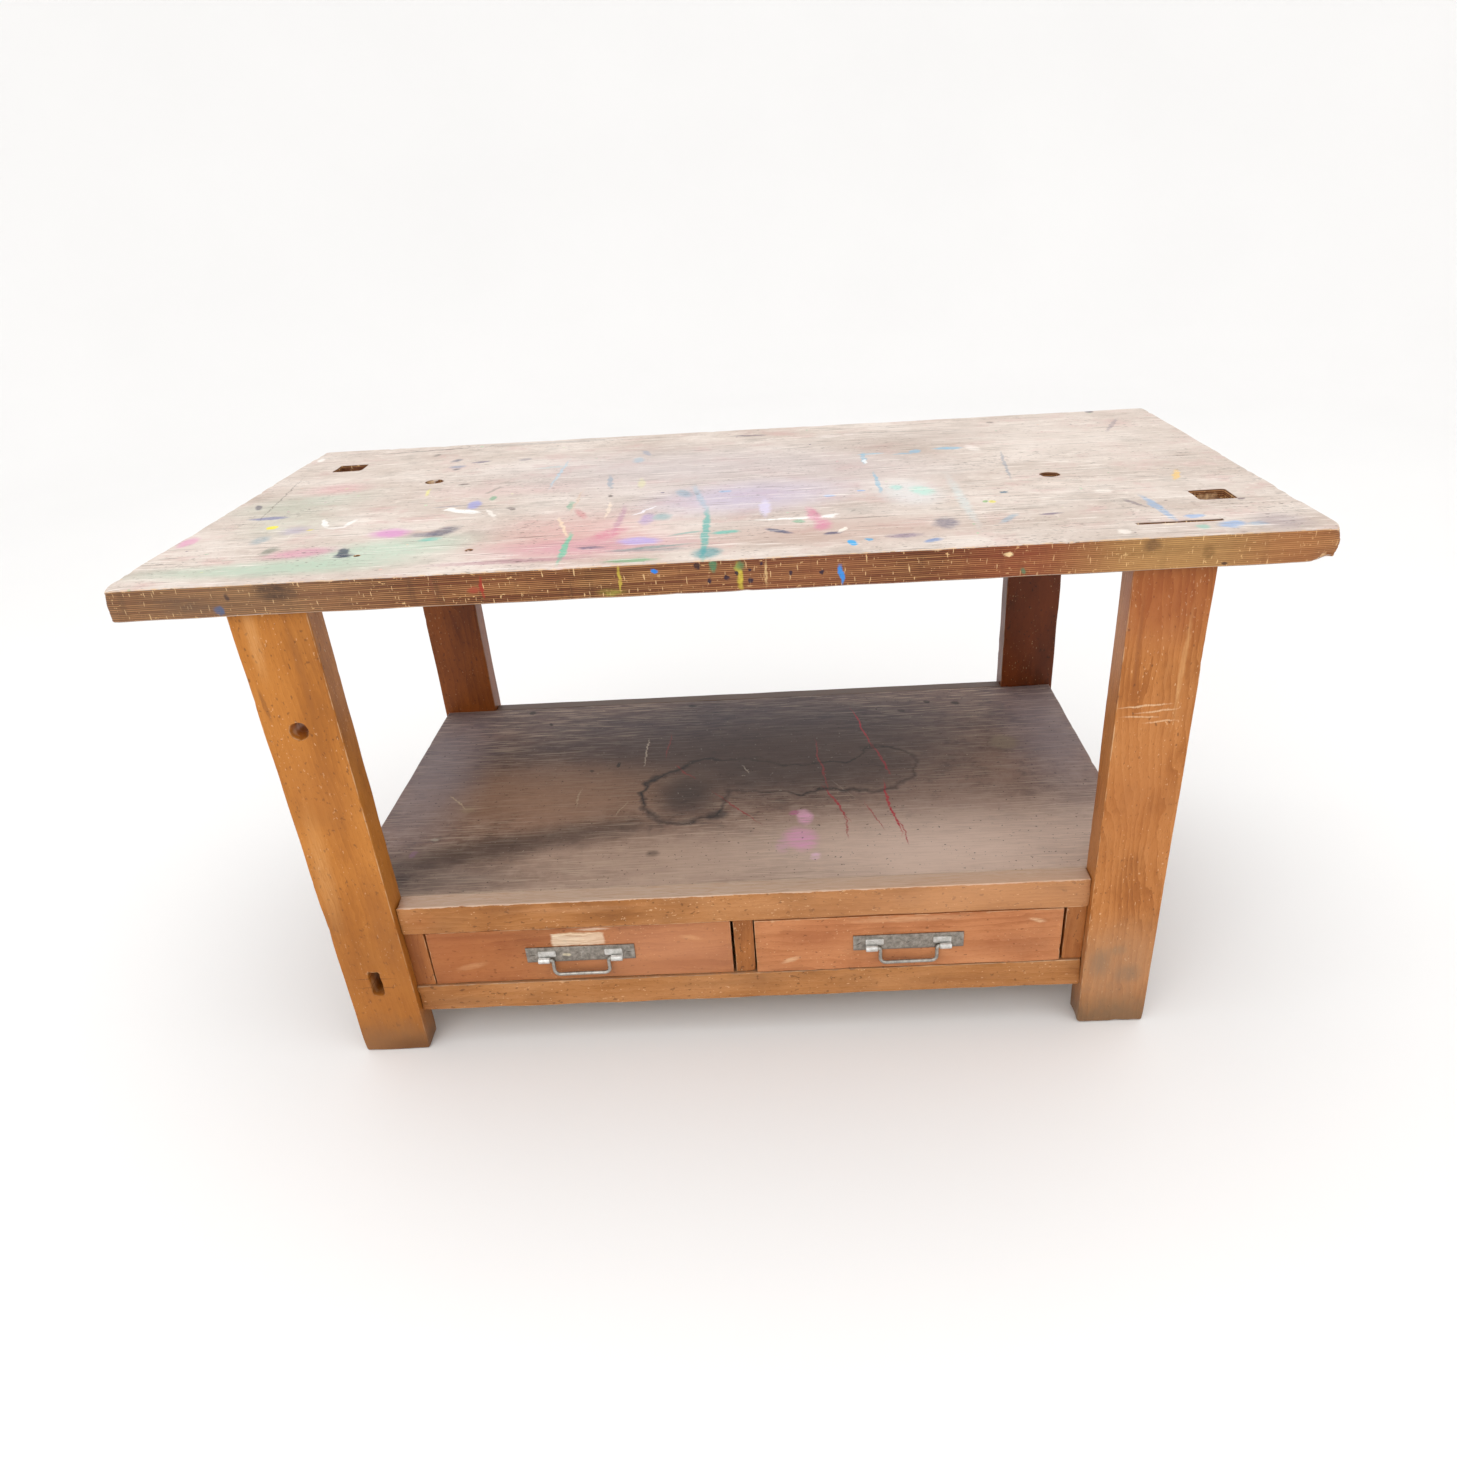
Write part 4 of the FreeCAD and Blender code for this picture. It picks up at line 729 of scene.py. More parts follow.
# Damp rings are the outlines of these overlapping pools on the shelf, each with its two half lengths.
POOLS = ((-100, -50, 78, 88), (-22, 12, 98, 64), (128, -16, 120, 56), (246, 10, 60, 80))
SHELF_STAINS_AND_PAINTED_LIGHT = tuple(top_mark(*row) for row in (
    # Painted shade: the first four rows, dark broad washes over the back of the shelf under the slab.
    (10, 190, 330, 140, 0, "3f3a44", 0.7, 1.6, 0.15), (60, 70, 230, 110, 0, "3b2f2f", 0.6, 1.7, 0.15),
    (-120, 40, 560, 120, 0, "46322b", 0.6, 1.6, 0.15), (260, 60, 360, 150, 0, "5c4b46", 0.35, 1.6, 0.15),
    (-330, -45, 200, 95, 0, "b08668", 0.75, 1.6, 0.3), (-560, 60, 70, 260, 0, "978b90", 0.6, 1.6, 0.15),
    (560, 120, 70, 240, 0, "988b90", 0.55, 1.6, 0.15), (400, -150, 240, 90, 0, "a58b7e", 0.5, 1.8, 0.2),
    # Painted light: the two pale broad washes along the front.
    (-60, -245, 330, 70, 0, "c9ab96", 0.75, 1.7, 0.2), (360, -240, 320, 90, 0, "e6ccbb", 0.85, 1.7, 0.2),
    # Painted shadow: the dark band turned 14 degrees at the front left, cast by the front left leg.
    (-400, -200, 240, 34, 14, "3a2b24", 0.7, 1.5, 0.2), (-480, -285, 110, 40, 0, "4a4444", 0.5, 1.5, 0.2),
    (470, 84, 24, 24, 0, "8b7a66", 0.75, 0.8, 0.2), (-96, -56, 40, 54, 0, "2e2626", 0.7, 1.2, 0.2),
    (-44, -124, 16, 14, 0, "2e292a", 0.7, 0.9, 0.2), (100, -145, 12, 22, 10, "efb4d0", 1.0, 0.8, 0.6),
    (94, -210, 24, 30, 0, "eaa8ca", 1.0, 0.9, 0.55), (64, -228, 9, 18, 0, "dcaac4", 0.7, 1.0, 0.95),
    (112, -262, 8, 10, 0, "efc8dc", 0.85, 0.9, 0.8), (82, -132, 8, 8, 0, "c9569a", 0.7, 0.9, 0.7),
    (222, 165, 1.7, 80, 9, "b8283c", 0.95, 0.6, 0.5), (246, 42, 2.0, 56, 10, "b4303c", 0.95, 0.6, 0.5),
    (247, -125, 2.2, 78, 3, "c02a3a", 1.0, 0.6, 0.4), (257, -205, 1.6, 34, 8, "b4303c", 0.8, 0.6, 0.6),
    (137, 30, 1.6, 92, 5, "ac3a40", 0.85, 0.6, 0.6), (154, -104, 1.8, 56, 18, "b4303c", 0.95, 0.6, 0.4),
    (168, -180, 1.5, 34, 2, "ac3a40", 0.8, 0.6, 0.6), (-12, -106, 1.5, 66, 36, "a83338", 0.85, 0.6, 0.5),
    (-142, 130, 1.3, 44, 0, "983a3c", 0.75, 0.6, 0.6), (-106, 25, 1.5, 34, 40, "a83338", 0.8, 0.6, 0.6),
    (214, -150, 1.3, 42, 12, "ac3a40", 0.75, 0.6, 0.6), (-182, 110, 1.4, 50, 1, "c9b8a4", 0.8, 0.6, 0.5),
    (-494, -46, 1.6, 30, 38, "cdb694", 0.8, 0.6, 0.5), (-472, -74, 12, 8, 0, "b09a78", 0.6, 1.0, 0.7),
    (-284, -50, 1.6, 32, -3, "bda688", 0.75, 0.6, 0.6), (-206, -92, 1.5, 26, -18, "bda688", 0.75, 0.6, 0.6),
    (4, 26, 1.6, 16, 24, "c4b4a2", 0.8, 0.6, 0.5), (170, -60, 1.4, 36, 30, "a89684", 0.6, 0.6, 0.6),
    (-505, -166, 7, 5, 0, "b9ae9c", 0.85, 0.7, 0.3), (-530, -205, 5, 10, 0, "9a7390", 0.7, 0.9, 0.5),
    (-432, 300, 7, 9, 0, "1f1c1e", 0.9, 0.7, 0.3), (-384, 244, 3.5, 6, 20, "1f1c1e", 0.9, 0.7, 0.3),
    (354, 266, 6, 7, 0, "1f1c1e", 0.9, 0.7, 0.3), (409, 256, 8, 8, 0, "231f20", 0.9, 0.7, 0.3),
    (300, 230, 7, 5, 0, "2a2526", 0.85, 0.7, 0.3), (-108, 296, 8, 6, 0, "29242a", 0.8, 0.8, 0.3),
    (-229, 62, 3, 9, 0, "26201e", 0.85, 0.7, 0.3), (-278, 44, 4, 4, 0, "26201e", 0.85, 0.7, 0.3),
    (-141, -233, 10, 9, 0, "54443a", 0.7, 1.0, 0.3),
))


@dataclass(frozen=True)
class StainedSlab:
    """The worktop: plywood, its face washed pale and stained with paint, its plies bare at the edges.

    A pale dry face that reads matt; the edges show 17 plies as light and dark lines under old brown
    varnish.
    """

    name: str = "worn_plywood_top"
    face_light: str = "ddd0c6"
    face_dark: str = "bba99c"
    ply_light: str = "bd8a56"
    ply_dark: str = "6c3e21"
    glue_line: str = "3a1d0c"
    arris: str = "dcb68a"
    underside: str = "6e4a2d"
    plies: int = 17

    def face(self, graph: Graph, place: Socket, scuff: Socket, warped: Socket) -> Socket:
        """The pale face with its long fibres, dirt and stains.

        Args:
            graph: The material's nodes.
            place: The socket with Object coordinates.
            scuff: The socket with the scuffing.
            warped: The socket with warped coordinates.

        Returns:
            The colour socket.
        """
        cloud = graph.noise(place, (5.0, 9.0, 9.0), 5.0, 0.6)
        cloud = graph.add("MapRange", {"Value": cloud, "From Min": 0.34, "From Max": 0.7})
        colour = graph.add("Mix", {0: cloud, 6: linear(self.face_light), 7: linear(self.face_dark)}, 2,
                           data_type="RGBA")
        # Late wood shows as streaks a few millimetres wide and up to 200 mm long.
        streak = graph.noise(place, (9.0, 150.0, 150.0), 5.0, 0.62)
        colour = graph.lay(colour, "9a7f6d", streak, 0.48, 0.74, 0.15)
        # Small mottling, 8 mm across, from spills wiped off again.
        fine = graph.noise(warped, 70.0, 5.0, 0.7)
        colour = graph.lay(colour, "eee3d8", fine, 0.55, 0.75, 0.55)
        colour = graph.lay(colour, "8b7568", fine, 0.42, 0.27, 0.4)
        # Pink and grey washes 60 mm across.
        wash = graph.noise(warped, (13.0, 17.0, 17.0), 6.0, 0.68, at=(4.0, 1.0, 0.0))
        lilac_place = graph.add("Mapping", {"Vector": place, "Scale": (1.9, 2.6, 2.0),
                                            "Location": (-0.05, 0.1, 0.0)})
        lilac = graph.add("VectorMath", {0: lilac_place}, "Value", operation="LENGTH")
        colour = graph.lay(colour, "cdc0cc", lilac, 1.7, 1.28, 0.4)
        colour = graph.lay(colour, "c8a09a", wash, 0.53, 0.68, 0.5)
        colour = graph.lay(colour, "a3998f", wash, 0.46, 0.32, 0.45)
        colour = lay_marks(graph, colour, TOP_MARKS, warped, scuff)
        # Dents and knife slips filled with dirt: dark dashes 5 to 20 mm long, crowded in places.
        crowd = graph.noise(place, (6.0, 9.0, 9.0), 3.0, at=(9.0, 3.0, 0.0))
        for turn, long, wide, seed in ((0.05, 75.0, 330.0, 1.0), (0.5, 110.0, 300.0, 6.0),
                                       (-0.35, 90.0, 380.0, 11.0)):
            dash = graph.noise(place, (long, wide, 1.0), 1.0, 0.5, turn=(0.0, 0.0, turn),
                               at=(seed, seed * 0.7, 0.0))
            dash = graph.add("Math", {0: crowd, 1: 0.3, 2: dash}, operation="MULTIPLY_ADD")
            colour = graph.lay(colour, "55483f", dash, 0.885, 0.92, 0.7)
        # Stray fine spatter: cells 45 mm apart, each with a dot a few millimetres wide in its own colour.
        dots = graph.add("TexVoronoi", {"Vector": warped, "Scale": 22.0, "Randomness": 1.0})
        tint = dots.node.outputs["Color"]
        spot = graph.add("MapRange", {"Value": dots, "From Min": 0.062, "From Max": 0.04, "To Max": 0.75})
        tint = graph.add("HueSaturation", {"Saturation": 0.55, "Value": 0.75, "Color": tint})
        colour = graph.add("Mix", {0: spot, 6: colour, 7: tint}, 2, data_type="RGBA")
        # Knife cuts: three sets of thin lines at their own angles, dark or pale.
        for turn, ink, seed in ((0.35, "6c5a50", 0.0), (-0.9, "f2eae2", 4.0), (1.35, "f2eae2", 9.0)):
            line = graph.noise(place, (11.0, 420.0, 1.0), 0.0, turn=(0.0, 0.0, turn), at=(seed, seed, 0.0))
            colour = graph.lay(colour, ink, line, 0.735, 0.775, 0.7)
        return colour

    def ply_edge(self, graph: Graph, place: Socket, scuff: Socket, warped: Socket) -> Socket:
        """The bare plies.

        A ply's number is its height divided by a ply's thickness. Each ply has a noise of its own for its
        tone, and a glue line is where the fraction of that number is near 0 or 1.

        Args:
            graph: The material's nodes.
            place: The socket with Object coordinates.
            scuff: The socket with the scuffing.
            warped: The socket with warped coordinates.

        Returns:
            The colour socket.
        """
        low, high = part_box("worktop")
        thickness = (high[2] - low[2]) / self.plies
        height = graph.add("SeparateXYZ", {0: place}, 2)
        wave = graph.noise(place, (7.0, 7.0, 30.0), 2.0)
        height = graph.add("Math", {0: wave, 1: thickness * 0.5, 2: height}, operation="MULTIPLY_ADD")
        number = graph.add("Math", {0: height, 1: thickness}, operation="DIVIDE")
        share = graph.add("Math", {0: number}, operation="FRACT")
        ply = graph.add("Math", {0: number}, operation="FLOOR")
        ply = graph.add("CombineXYZ", {0: ply, 1: ply, 2: ply})
        along = graph.add("Mapping", {"Vector": place, "Scale": (5.0, 5.0, 5.0)})
        own = graph.add("VectorMath", {0: ply, 1: (7.31, 3.17, 5.53), 2: along}, operation="MULTIPLY_ADD")
        tone = graph.noise(own, 1.0, 3.0, 0.6)
        tone = graph.add("MapRange", {"Value": tone, "From Min": 0.4, "From Max": 0.62})
        colour = graph.add("Mix", {0: tone, 6: linear(self.ply_light), 7: linear(self.ply_dark)}, 2,
                           data_type="RGBA")
        grain = graph.noise(place, (60.0, 60.0, 900.0), 3.0, 0.6)
        colour = graph.lay(colour, "6f4120", grain, 0.35, 0.75, 0.45)
        # Old varnish: reddish in the middle of the long side, tan to the right, in clouds 120 mm across.
        span = graph.add("SeparateXYZ", {0: place}).node.outputs[0]
        drift = graph.noise(place, (9.0, 9.0, 14.0), 4.0, 0.6)
        colour = graph.lay(colour, "8a4a2c", drift, 0.38, 0.62, 0.42)
        colour = graph.lay(colour, "c49560", span, 0.25, 0.7, 0.2)
        glue = graph.add("Math", {0: share, 1: 0.5}, operation="PINGPONG")
        glue = graph.add("MapRange", {"Value": glue, "From Min": 0.33, "From Max": 0.12, "To Max": 1.0})
        glue_loss = graph.add("MapRange", {"Value": wave, "From Min": 0.35, "From Max": 0.6, "To Min": 0.7})
        glue = graph.add("Math", {0: glue, 1: glue_loss}, operation="MULTIPLY")
        colour = graph.add("Mix", {0: glue, 6: colour, 7: linear(self.glue_line)}, 2, data_type="RGBA")
        # Splinters knocked off the plies: pale, 3 to 8 mm long, some upright like drips.
        chip = graph.noise(place, (130.0, 130.0, 260.0), 2.5, 0.55)
        colour = graph.lay(colour, "e0b880", chip, 0.67, 0.73, 0.8)
        # Thin cuts across the plies where tools have dropped, upright or slanting, pale.
        for turn, seed in ((0.0, 3.0), (0.5, 8.0), (-0.6, 14.0)):
            cut = graph.noise(place, (330.0, 330.0, 60.0), 1.0, 0.5, turn=(0.0, turn, 0.0),
                              at=(seed, seed, seed))
            colour = graph.lay(colour, "e6c18c", cut, 0.70, 0.745, 0.8)
        # Dirt in streaks that run down from the arris.
        soot = graph.noise(place, (60.0, 60.0, 9.0), 4.0, 0.65, at=(2.0, 0.7, 0.0))
        colour = graph.lay(colour, "4d2e1b", soot, 0.55, 0.72, 0.55)
        return lay_marks(graph, colour, EDGE_MARKS, warped, scuff)

    def material(self) -> bpy.types.Material:
        """Builds the material.

        Returns:
            A material on Object coordinates and the side_wall and edge_wear attributes.
        """
        graph = Graph(self.name)
        place = graph.add("TexCoord", {}, "Object")
        warped = graph.push(place, place, 60.0, 4.0, 0.65, 14 * MM)
        fibre = graph.noise(place, (110.0, 330.0, 200.0), 4.0, 0.65)
        scuff = graph.add("MapRange", {"Value": fibre, "From Min": 0.40, "From Max": 0.66})
        face = self.face(graph, place, scuff, warped)
        edge_face = self.ply_edge(graph, place, scuff, warped)
        side = graph.add("Attribute", {}, "Fac", attribute_name="side_wall")
        side = graph.add("MapRange", {"Value": side, "From Min": 0.35, "From Max": 0.8})
        colour = graph.add("Mix", {0: side, 6: face, 7: edge_face}, 2, data_type="RGBA")
        edge = graph.add("Attribute", {}, "Fac", attribute_name="edge_wear")
        cut = graph.add("Attribute", {}, "Fac", attribute_name="cut_wall")
        cut = graph.add("Math", {0: cut, 1: 0.85}, operation="MULTIPLY")
        colour = graph.add("Mix", {0: cut, 6: colour, 7: linear("e2c49a")}, 2, data_type="RGBA")
        rub = graph.noise(place, 95.0, 4.0, 0.65)
        rubbed = graph.add("Math", {0: edge, 1: rub}, operation="MULTIPLY")
        colour = graph.lay(colour, self.arris, rubbed, 0.34, 0.52, 0.75)
        low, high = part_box("worktop")
        height = graph.add("SeparateXYZ", {0: place}, 2)
        below = graph.add("MapRange", {"Value": height, "From Min": low[2] + 1.6 * MM,
                                       "From Max": low[2] + 0.6 * MM})
        brown = graph.add("Mix", {0: fibre, 6: linear(self.underside), 7: linear("3f2716")}, 2,
                          data_type="RGBA")
        colour = graph.add("Mix", {0: below, 6: colour, 7: brown}, 2, data_type="RGBA")
        rough = graph.add("Math", {0: fibre, 1: 0.3, 2: 0.42}, operation="MULTIPLY_ADD", use_clamp=True)
        relief = graph.add("Math", {0: rub, 1: 0.8, 2: fibre}, operation="MULTIPLY_ADD")
        return graph.close(relief, 0.5, 0.8 * MM, {"Base Color": colour, "Roughness": rough,
                                                   "Specular IOR Level": 0.25})


@dataclass(frozen=True)
class DampBoard:
    """The shelf: hardboard-smooth wood gone grey brown, with damp rings, crayon lines and dropped paint.

    A dark matt surface, with painted light along the front and painted shade at the back under the slab.
    """

    name: str = "damp_stained_shelf"

    def material(self) -> bpy.types.Material:
        """Builds the material.

        Each pool's own coordinates have length 1 on its outline. The least of them over all the pools is 1
        on the outline of the whole, and the ring is drawn where it is near 1.

        Returns:
            A material on Object coordinates and the edge_wear attribute.
        """
        graph = Graph(self.name)
        place = graph.add("TexCoord", {}, "Object")
        cloud = graph.noise(place, (3.5, 6.0, 6.0), 6.0, 0.62)
        cloud = graph.add("MapRange", {"Value": cloud, "From Min": 0.35, "From Max": 0.68})
        colour = graph.add("Mix", {0: cloud, 6: linear("a3806d"), 7: linear("543c32")}, 2, data_type="RGBA")
        # Blotches 30 mm across inside the clouds.
        blot = graph.noise(place, 32.0, 6.0, 0.7)
        colour = graph.lay(colour, "b59a88", blot, 0.50, 0.66, 0.6)
        colour = graph.lay(colour, "473730", blot, 0.47, 0.34, 0.7)
        loose = graph.push(place, place, 14.0, 4.0, 0.55, 90 * MM)
        warped = graph.push(place, place, 14.0, 4.0, 0.55, 22 * MM)
        warped = graph.push(warped, place, 120.0, 3.0, 0.5, 7 * MM)
        fibre = graph.noise(place, (24.0, 420.0, 200.0), 4.0, 0.62)
        scuff = graph.add("MapRange", {"Value": fibre, "From Min": 0.40, "From Max": 0.62})
        nearest = None
        for x, y, half_x, half_y in POOLS:
            own = graph.add("Mapping", {"Vector": loose, "Location": (x * MM, y * MM, 0.0),
                                        "Scale": (half_x * MM, half_y * MM, 50.0)}, vector_type="TEXTURE")
            reach = graph.add("VectorMath", {0: own}, "Value", operation="LENGTH")
            nearest = reach if nearest is None else graph.add("Math", {0: nearest, 1: reach},
                                                              operation="MINIMUM")
        # Painted light along the front and painted shade at the back, dark and bluish, where the slab above shades
        # the shelf.
        depth = graph.add("SeparateXYZ", {0: place}, 1)
        depth = graph.add("Math", {0: cloud, 1: 0.16, 2: depth}, operation="MULTIPLY_ADD")
        colour = graph.lay(colour, "d4b8a5", depth, -0.12, -0.29, 0.85)
        colour = graph.lay(colour, "574b4f", depth, 0.08, 0.26, 0.6)
        # Thin scratches crossing each other, pale.
        for turn, seed in ((0.5, 2.0), (-0.7, 7.0), (1.2, 12.0)):
            line = graph.noise(place, (14.0, 420.0, 1.0), 0.0, turn=(0.0, 0.0, turn), at=(seed, seed, 0.0))
            line = graph.add("Math", {0: cloud, 1: 0.04, 2: line}, operation="MULTIPLY_ADD")
            colour = graph.lay(colour, "c9b29c", line, 0.70, 0.745, 0.7)
        # Lays the stains and drips, with the painted shade at the back, the painted light along the front and the
        # painted leg shadow.
        colour = lay_marks(graph, colour, SHELF_STAINS_AND_PAINTED_LIGHT, warped, scuff)
        off = graph.add("Math", {0: nearest, 1: 1.0}, operation="SUBTRACT")
        off = graph.add("Math", {0: off}, operation="ABSOLUTE")
        ring = graph.add("MapRange", {"Value": off, "From Min": 0.11, "From Max": 0.0, "To Max": 0.95})
        ring_loss = graph.add("MapRange", {"Value": cloud, "From Min": 0.0, "From Max": 0.6,
                                           "To Min": 0.45})
        ring = graph.add("Math", {0: ring, 1: ring_loss}, operation="MULTIPLY")
        colour = graph.add("Mix", {0: ring, 6: colour, 7: linear("241f20")}, 2, data_type="RGBA")
        colour = graph.lay(colour, "3a3232", nearest, 1.0, 0.7, 0.22)
        colour = graph.lay(colour, "a08b78", fibre, 0.5, 0.75, 0.14)
        # Specks of mould and dust two or three millimetres wide.
        speck = graph.noise(place, 190.0, 2.0)
        colour = graph.lay(colour, "2a2422", speck, 0.31, 0.27, 0.7)
        colour = graph.lay(colour, "b7a593", speck, 0.70, 0.75, 0.5)
        edge = graph.add("Attribute", {}, "Fac", attribute_name="edge_wear")
        worn = graph.add("Math", {0: edge, 1: 0.35}, operation="MULTIPLY")
        colour = graph.add("Mix", {0: worn, 6: colour, 7: linear("b09a84")}, 2, data_type="RGBA")
        rough = graph.add("Math", {0: fibre, 1: 0.3, 2: 0.4}, operation="MULTIPLY_ADD", use_clamp=True)
        relief = graph.add("Math", {0: speck, 1: 0.5, 2: fibre}, operation="MULTIPLY_ADD")
        return graph.close(relief, 0.35, 0.6 * MM, {"Base Color": colour, "Roughness": rough,
                                                   "Specular IOR Level": 0.25})


@dataclass(frozen=True)
class Steel:
    """Zinc-plated or plain mild steel that has dulled: soft grey patches with brown specks of rust."""

    name: str
    bright: str = "c4c2bc"
    dull: str = "8f8b84"
    roughness: float = 0.42
    rust: float = 0.5
    marks: tuple[Mark, ...] = field(default_factory=tuple)

    def material(self) -> bpy.types.Material:
        """Builds the material.

        Returns:
            A material on Object coordinates.
        """
        graph = Graph(self.name)
        place = graph.add("TexCoord", {}, "Object")
        patch = graph.noise(place, 130.0, 4.0, 0.65)
        tone = graph.add("MapRange", {"Value": patch, "From Min": 0.35, "From Max": 0.65})
        colour = graph.add("Mix", {0: tone, 6: linear(self.bright), 7: linear(self.dull)}, 2,
                           data_type="RGBA")
        speck = graph.noise(place, 420.0, 3.0, 0.6)
        rusty = graph.add("MapRange", {"Value": speck, "From Min": 0.60, "From Max": 0.70,
                                       "To Max": self.rust})
        colour = graph.add("Mix", {0: rusty, 6: colour, 7: linear("5c4a3c")}, 2, data_type="RGBA")
        metallic = graph.add("Math", {0: rusty, 1: -0.8, 2: 0.92}, operation="MULTIPLY_ADD", use_clamp=True)
        if self.marks:
            warp = graph.add("VectorMath", {0: speck, "Scale": 0.0016}, operation="SCALE")
            warped = graph.add("VectorMath", {0: place, 1: warp}, operation="ADD")
            colour = lay_marks(graph, colour, self.marks, warped, tone)
        rough = graph.add("Math", {0: patch, 1: 0.35, 2: self.roughness - 0.15}, operation="MULTIPLY_ADD")
        rough = graph.add("Math", {0: rusty, 1: 0.3, 2: rough}, operation="MULTIPLY_ADD", use_clamp=True)
        return graph.close(speck, 0.3, 0.2 * MM, {"Base Color": colour, "Metallic": metallic,
                                                  "Roughness": rough})


# ---------------------------------------------------------------- pieces


@dataclass
class Plank:
    """A board with rubbed corners, knocks along its edges and a surface that is no longer quite flat.

    The surface starts as a block. Where a point is nearer than the corner radius to two or three sides it
    moves onto a quarter round: the nearest point of the block shrunk by the radius, plus the radius along
    the way to the point. The radius varies smoothly along the board. Knocks are bell-shaped pits centred on
    edges.
    """

    name: str
    low: Array
    high: Array
    finish: bpy.types.Material
    body: str
    slot: str
    nodes: tuple[str, ...]
    wear: float = 1.6 * MM
    pitch: float = 9 * MM
    knocks: int = 14
    hollow: float = 0.25 * MM
    foot_wear: float = 0.0
    seed: int = 1

    def outline(self) -> tuple[Array, Array, Array]:
        """Works out the board's surface.

        Returns:
            Its points, its faces and how rubbed each point is.
        """
        low, high = np.array(self.low), np.array(self.high)
        half, middle = (high - low) / 2, (high + low) / 2
        zone = min(2.2 * self.wear, 0.42 * half.min())
        start, faces = block_surface([stations(size, self.pitch, zone) for size in half])
        inset = np.sort(half - np.abs(start), axis=1)[:, 1]
        rubbed = 1 - np.clip(inset / zone, 0, 1)
        world = start + middle
        radius = self.wear * np.clip(1 + 0.45 * Ripple(0.09, self.seed).at(world), 0.35, 2.0)
        if self.foot_wear:
            radius = radius + self.foot_wear * smoothstep(1 - (world[:, 2] - low[2]) / 0.02)
        radius = np.minimum(radius, 0.4 * half.min())[:, None]
        core = half - radius
        beyond = np.clip(np.abs(start) - core, 0, None)
        way = beyond / np.maximum(np.linalg.norm(beyond, axis=1, keepdims=True), 1e-12)
        shape = np.sign(start) * (np.minimum(np.abs(start), core) + radius * way)
        way = way * np.sign(start)
        dip = self.hollow * (0.5 + 0.5 * np.clip(Ripple(0.22, self.seed + 50).at(world), -1, 1))
        shape = shape - way * dip[:, None]
        rng = np.random.default_rng(self.seed + 900)
        for _ in range(self.knocks):
            spot = rng.uniform(-1, 1, 3) * half
            for axis in rng.permutation(3)[:2]:
                spot[axis] = np.sign(spot[axis]) * half[axis]
            spread = rng.uniform(3, 8) * MM
            depth = rng.uniform(0.3, 1.3) * MM
            bell = np.exp(-(((start - spot) ** 2).sum(1)) / spread**2)
            shape = shape - way * (depth * bell)[:, None]
            rubbed = np.maximum(rubbed, bell)
        return shape + middle, faces, rubbed

    def build(self, cutters: list[bpy.types.Object] | None = None) -> None:
        """Makes the piece.

        Args:
            cutters: Closed meshes to take out of it.
        """
        points, faces, rubbed = self.outline()
        thing = new_object(self.name, points, faces)
        set_attributes(thing, edge_wear=rubbed, cut_wall=0.0)
        thing.data.materials.append(self.finish)
        if cutters:
            cut_away(thing, cutters)
        settle(thing, self.body, self.nodes)


def settle(thing: bpy.types.Object, body: str, nodes: tuple[str, ...]) -> None:
    """Fastens a piece to its body, hides the nodes that it replaces, and reports it.

    Args:
        thing: The piece.
        body: The body that it moves with.
        nodes: The nodes that it replaces.
    """
    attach(thing, body)
    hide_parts(*nodes)
    thing.data.calc_loop_triangles()
    log.info("%s: %d triangles on %s", thing.name, len(thing.data.loop_triangles), body)


def hole_cutter(name: str, middle: Array, half: tuple[float, float], power: float, depths: list[float],
                grow: list[float], way: str, finish: bpy.types.Material, seed: int,
                ragged: float = 0.35 * MM, count: int = 48) -> bpy.types.Object:
    """A closed plug the shape of a used hole, wider where its rim has broken away.

    Its outline is a superellipse whose half sizes grow at each depth by a given amount, pushed in and out by
    smooth noise, and carried along the hole.

    Args:
        name: The cutter's name.
        middle: The point that the depths are counted from.
        half: The hole's half sizes across.
        power: The outline's roundness.
        depths: Distances along the hole, from the face inwards.
        grow: What is added to the half sizes at each depth.
        way: "Z" for a hole through a level board, "Y" for one from front to back.
        finish: The material of the hole's wall.
        seed: The noise's seed.
        ragged: The noise's reach.
        count: The points in an outline.

    Returns:
        The cutter.
    """
    shape = superellipse(count, power)
    rings = np.zeros((len(depths), count, 3))
    for number, (depth, extra) in enumerate(zip(depths, grow)):
        flat = shape * (np.array(half) + extra)
        rings[number, :, 0] = flat[:, 0]
        rings[number, :, 1] = flat[:, 1] if way == "Z" else depth
        rings[number, :, 2] = depth if way == "Z" else flat[:, 1]
    rings = rings[:, ::-1]
    push = ragged * Ripple(0.012, seed).at(rings.reshape(-1, 3)).reshape(rings.shape[:2])
    across = np.array([1.0, 1.0, 0.0]) if way == "Z" else np.array([1.0, 0.0, 1.0])
    outward = rings * across
    rings = rings + outward / np.linalg.norm(outward, axis=2, keepdims=True) * push[..., None]
    points, faces = swept(rings + np.array(middle))
    cutter = new_object(name, points, faces)
    set_attributes(cutter, side_wall=1.0, edge_wear=0.0, cut_wall=1.0)
    cutter.data.materials.append(finish)
    return cutter


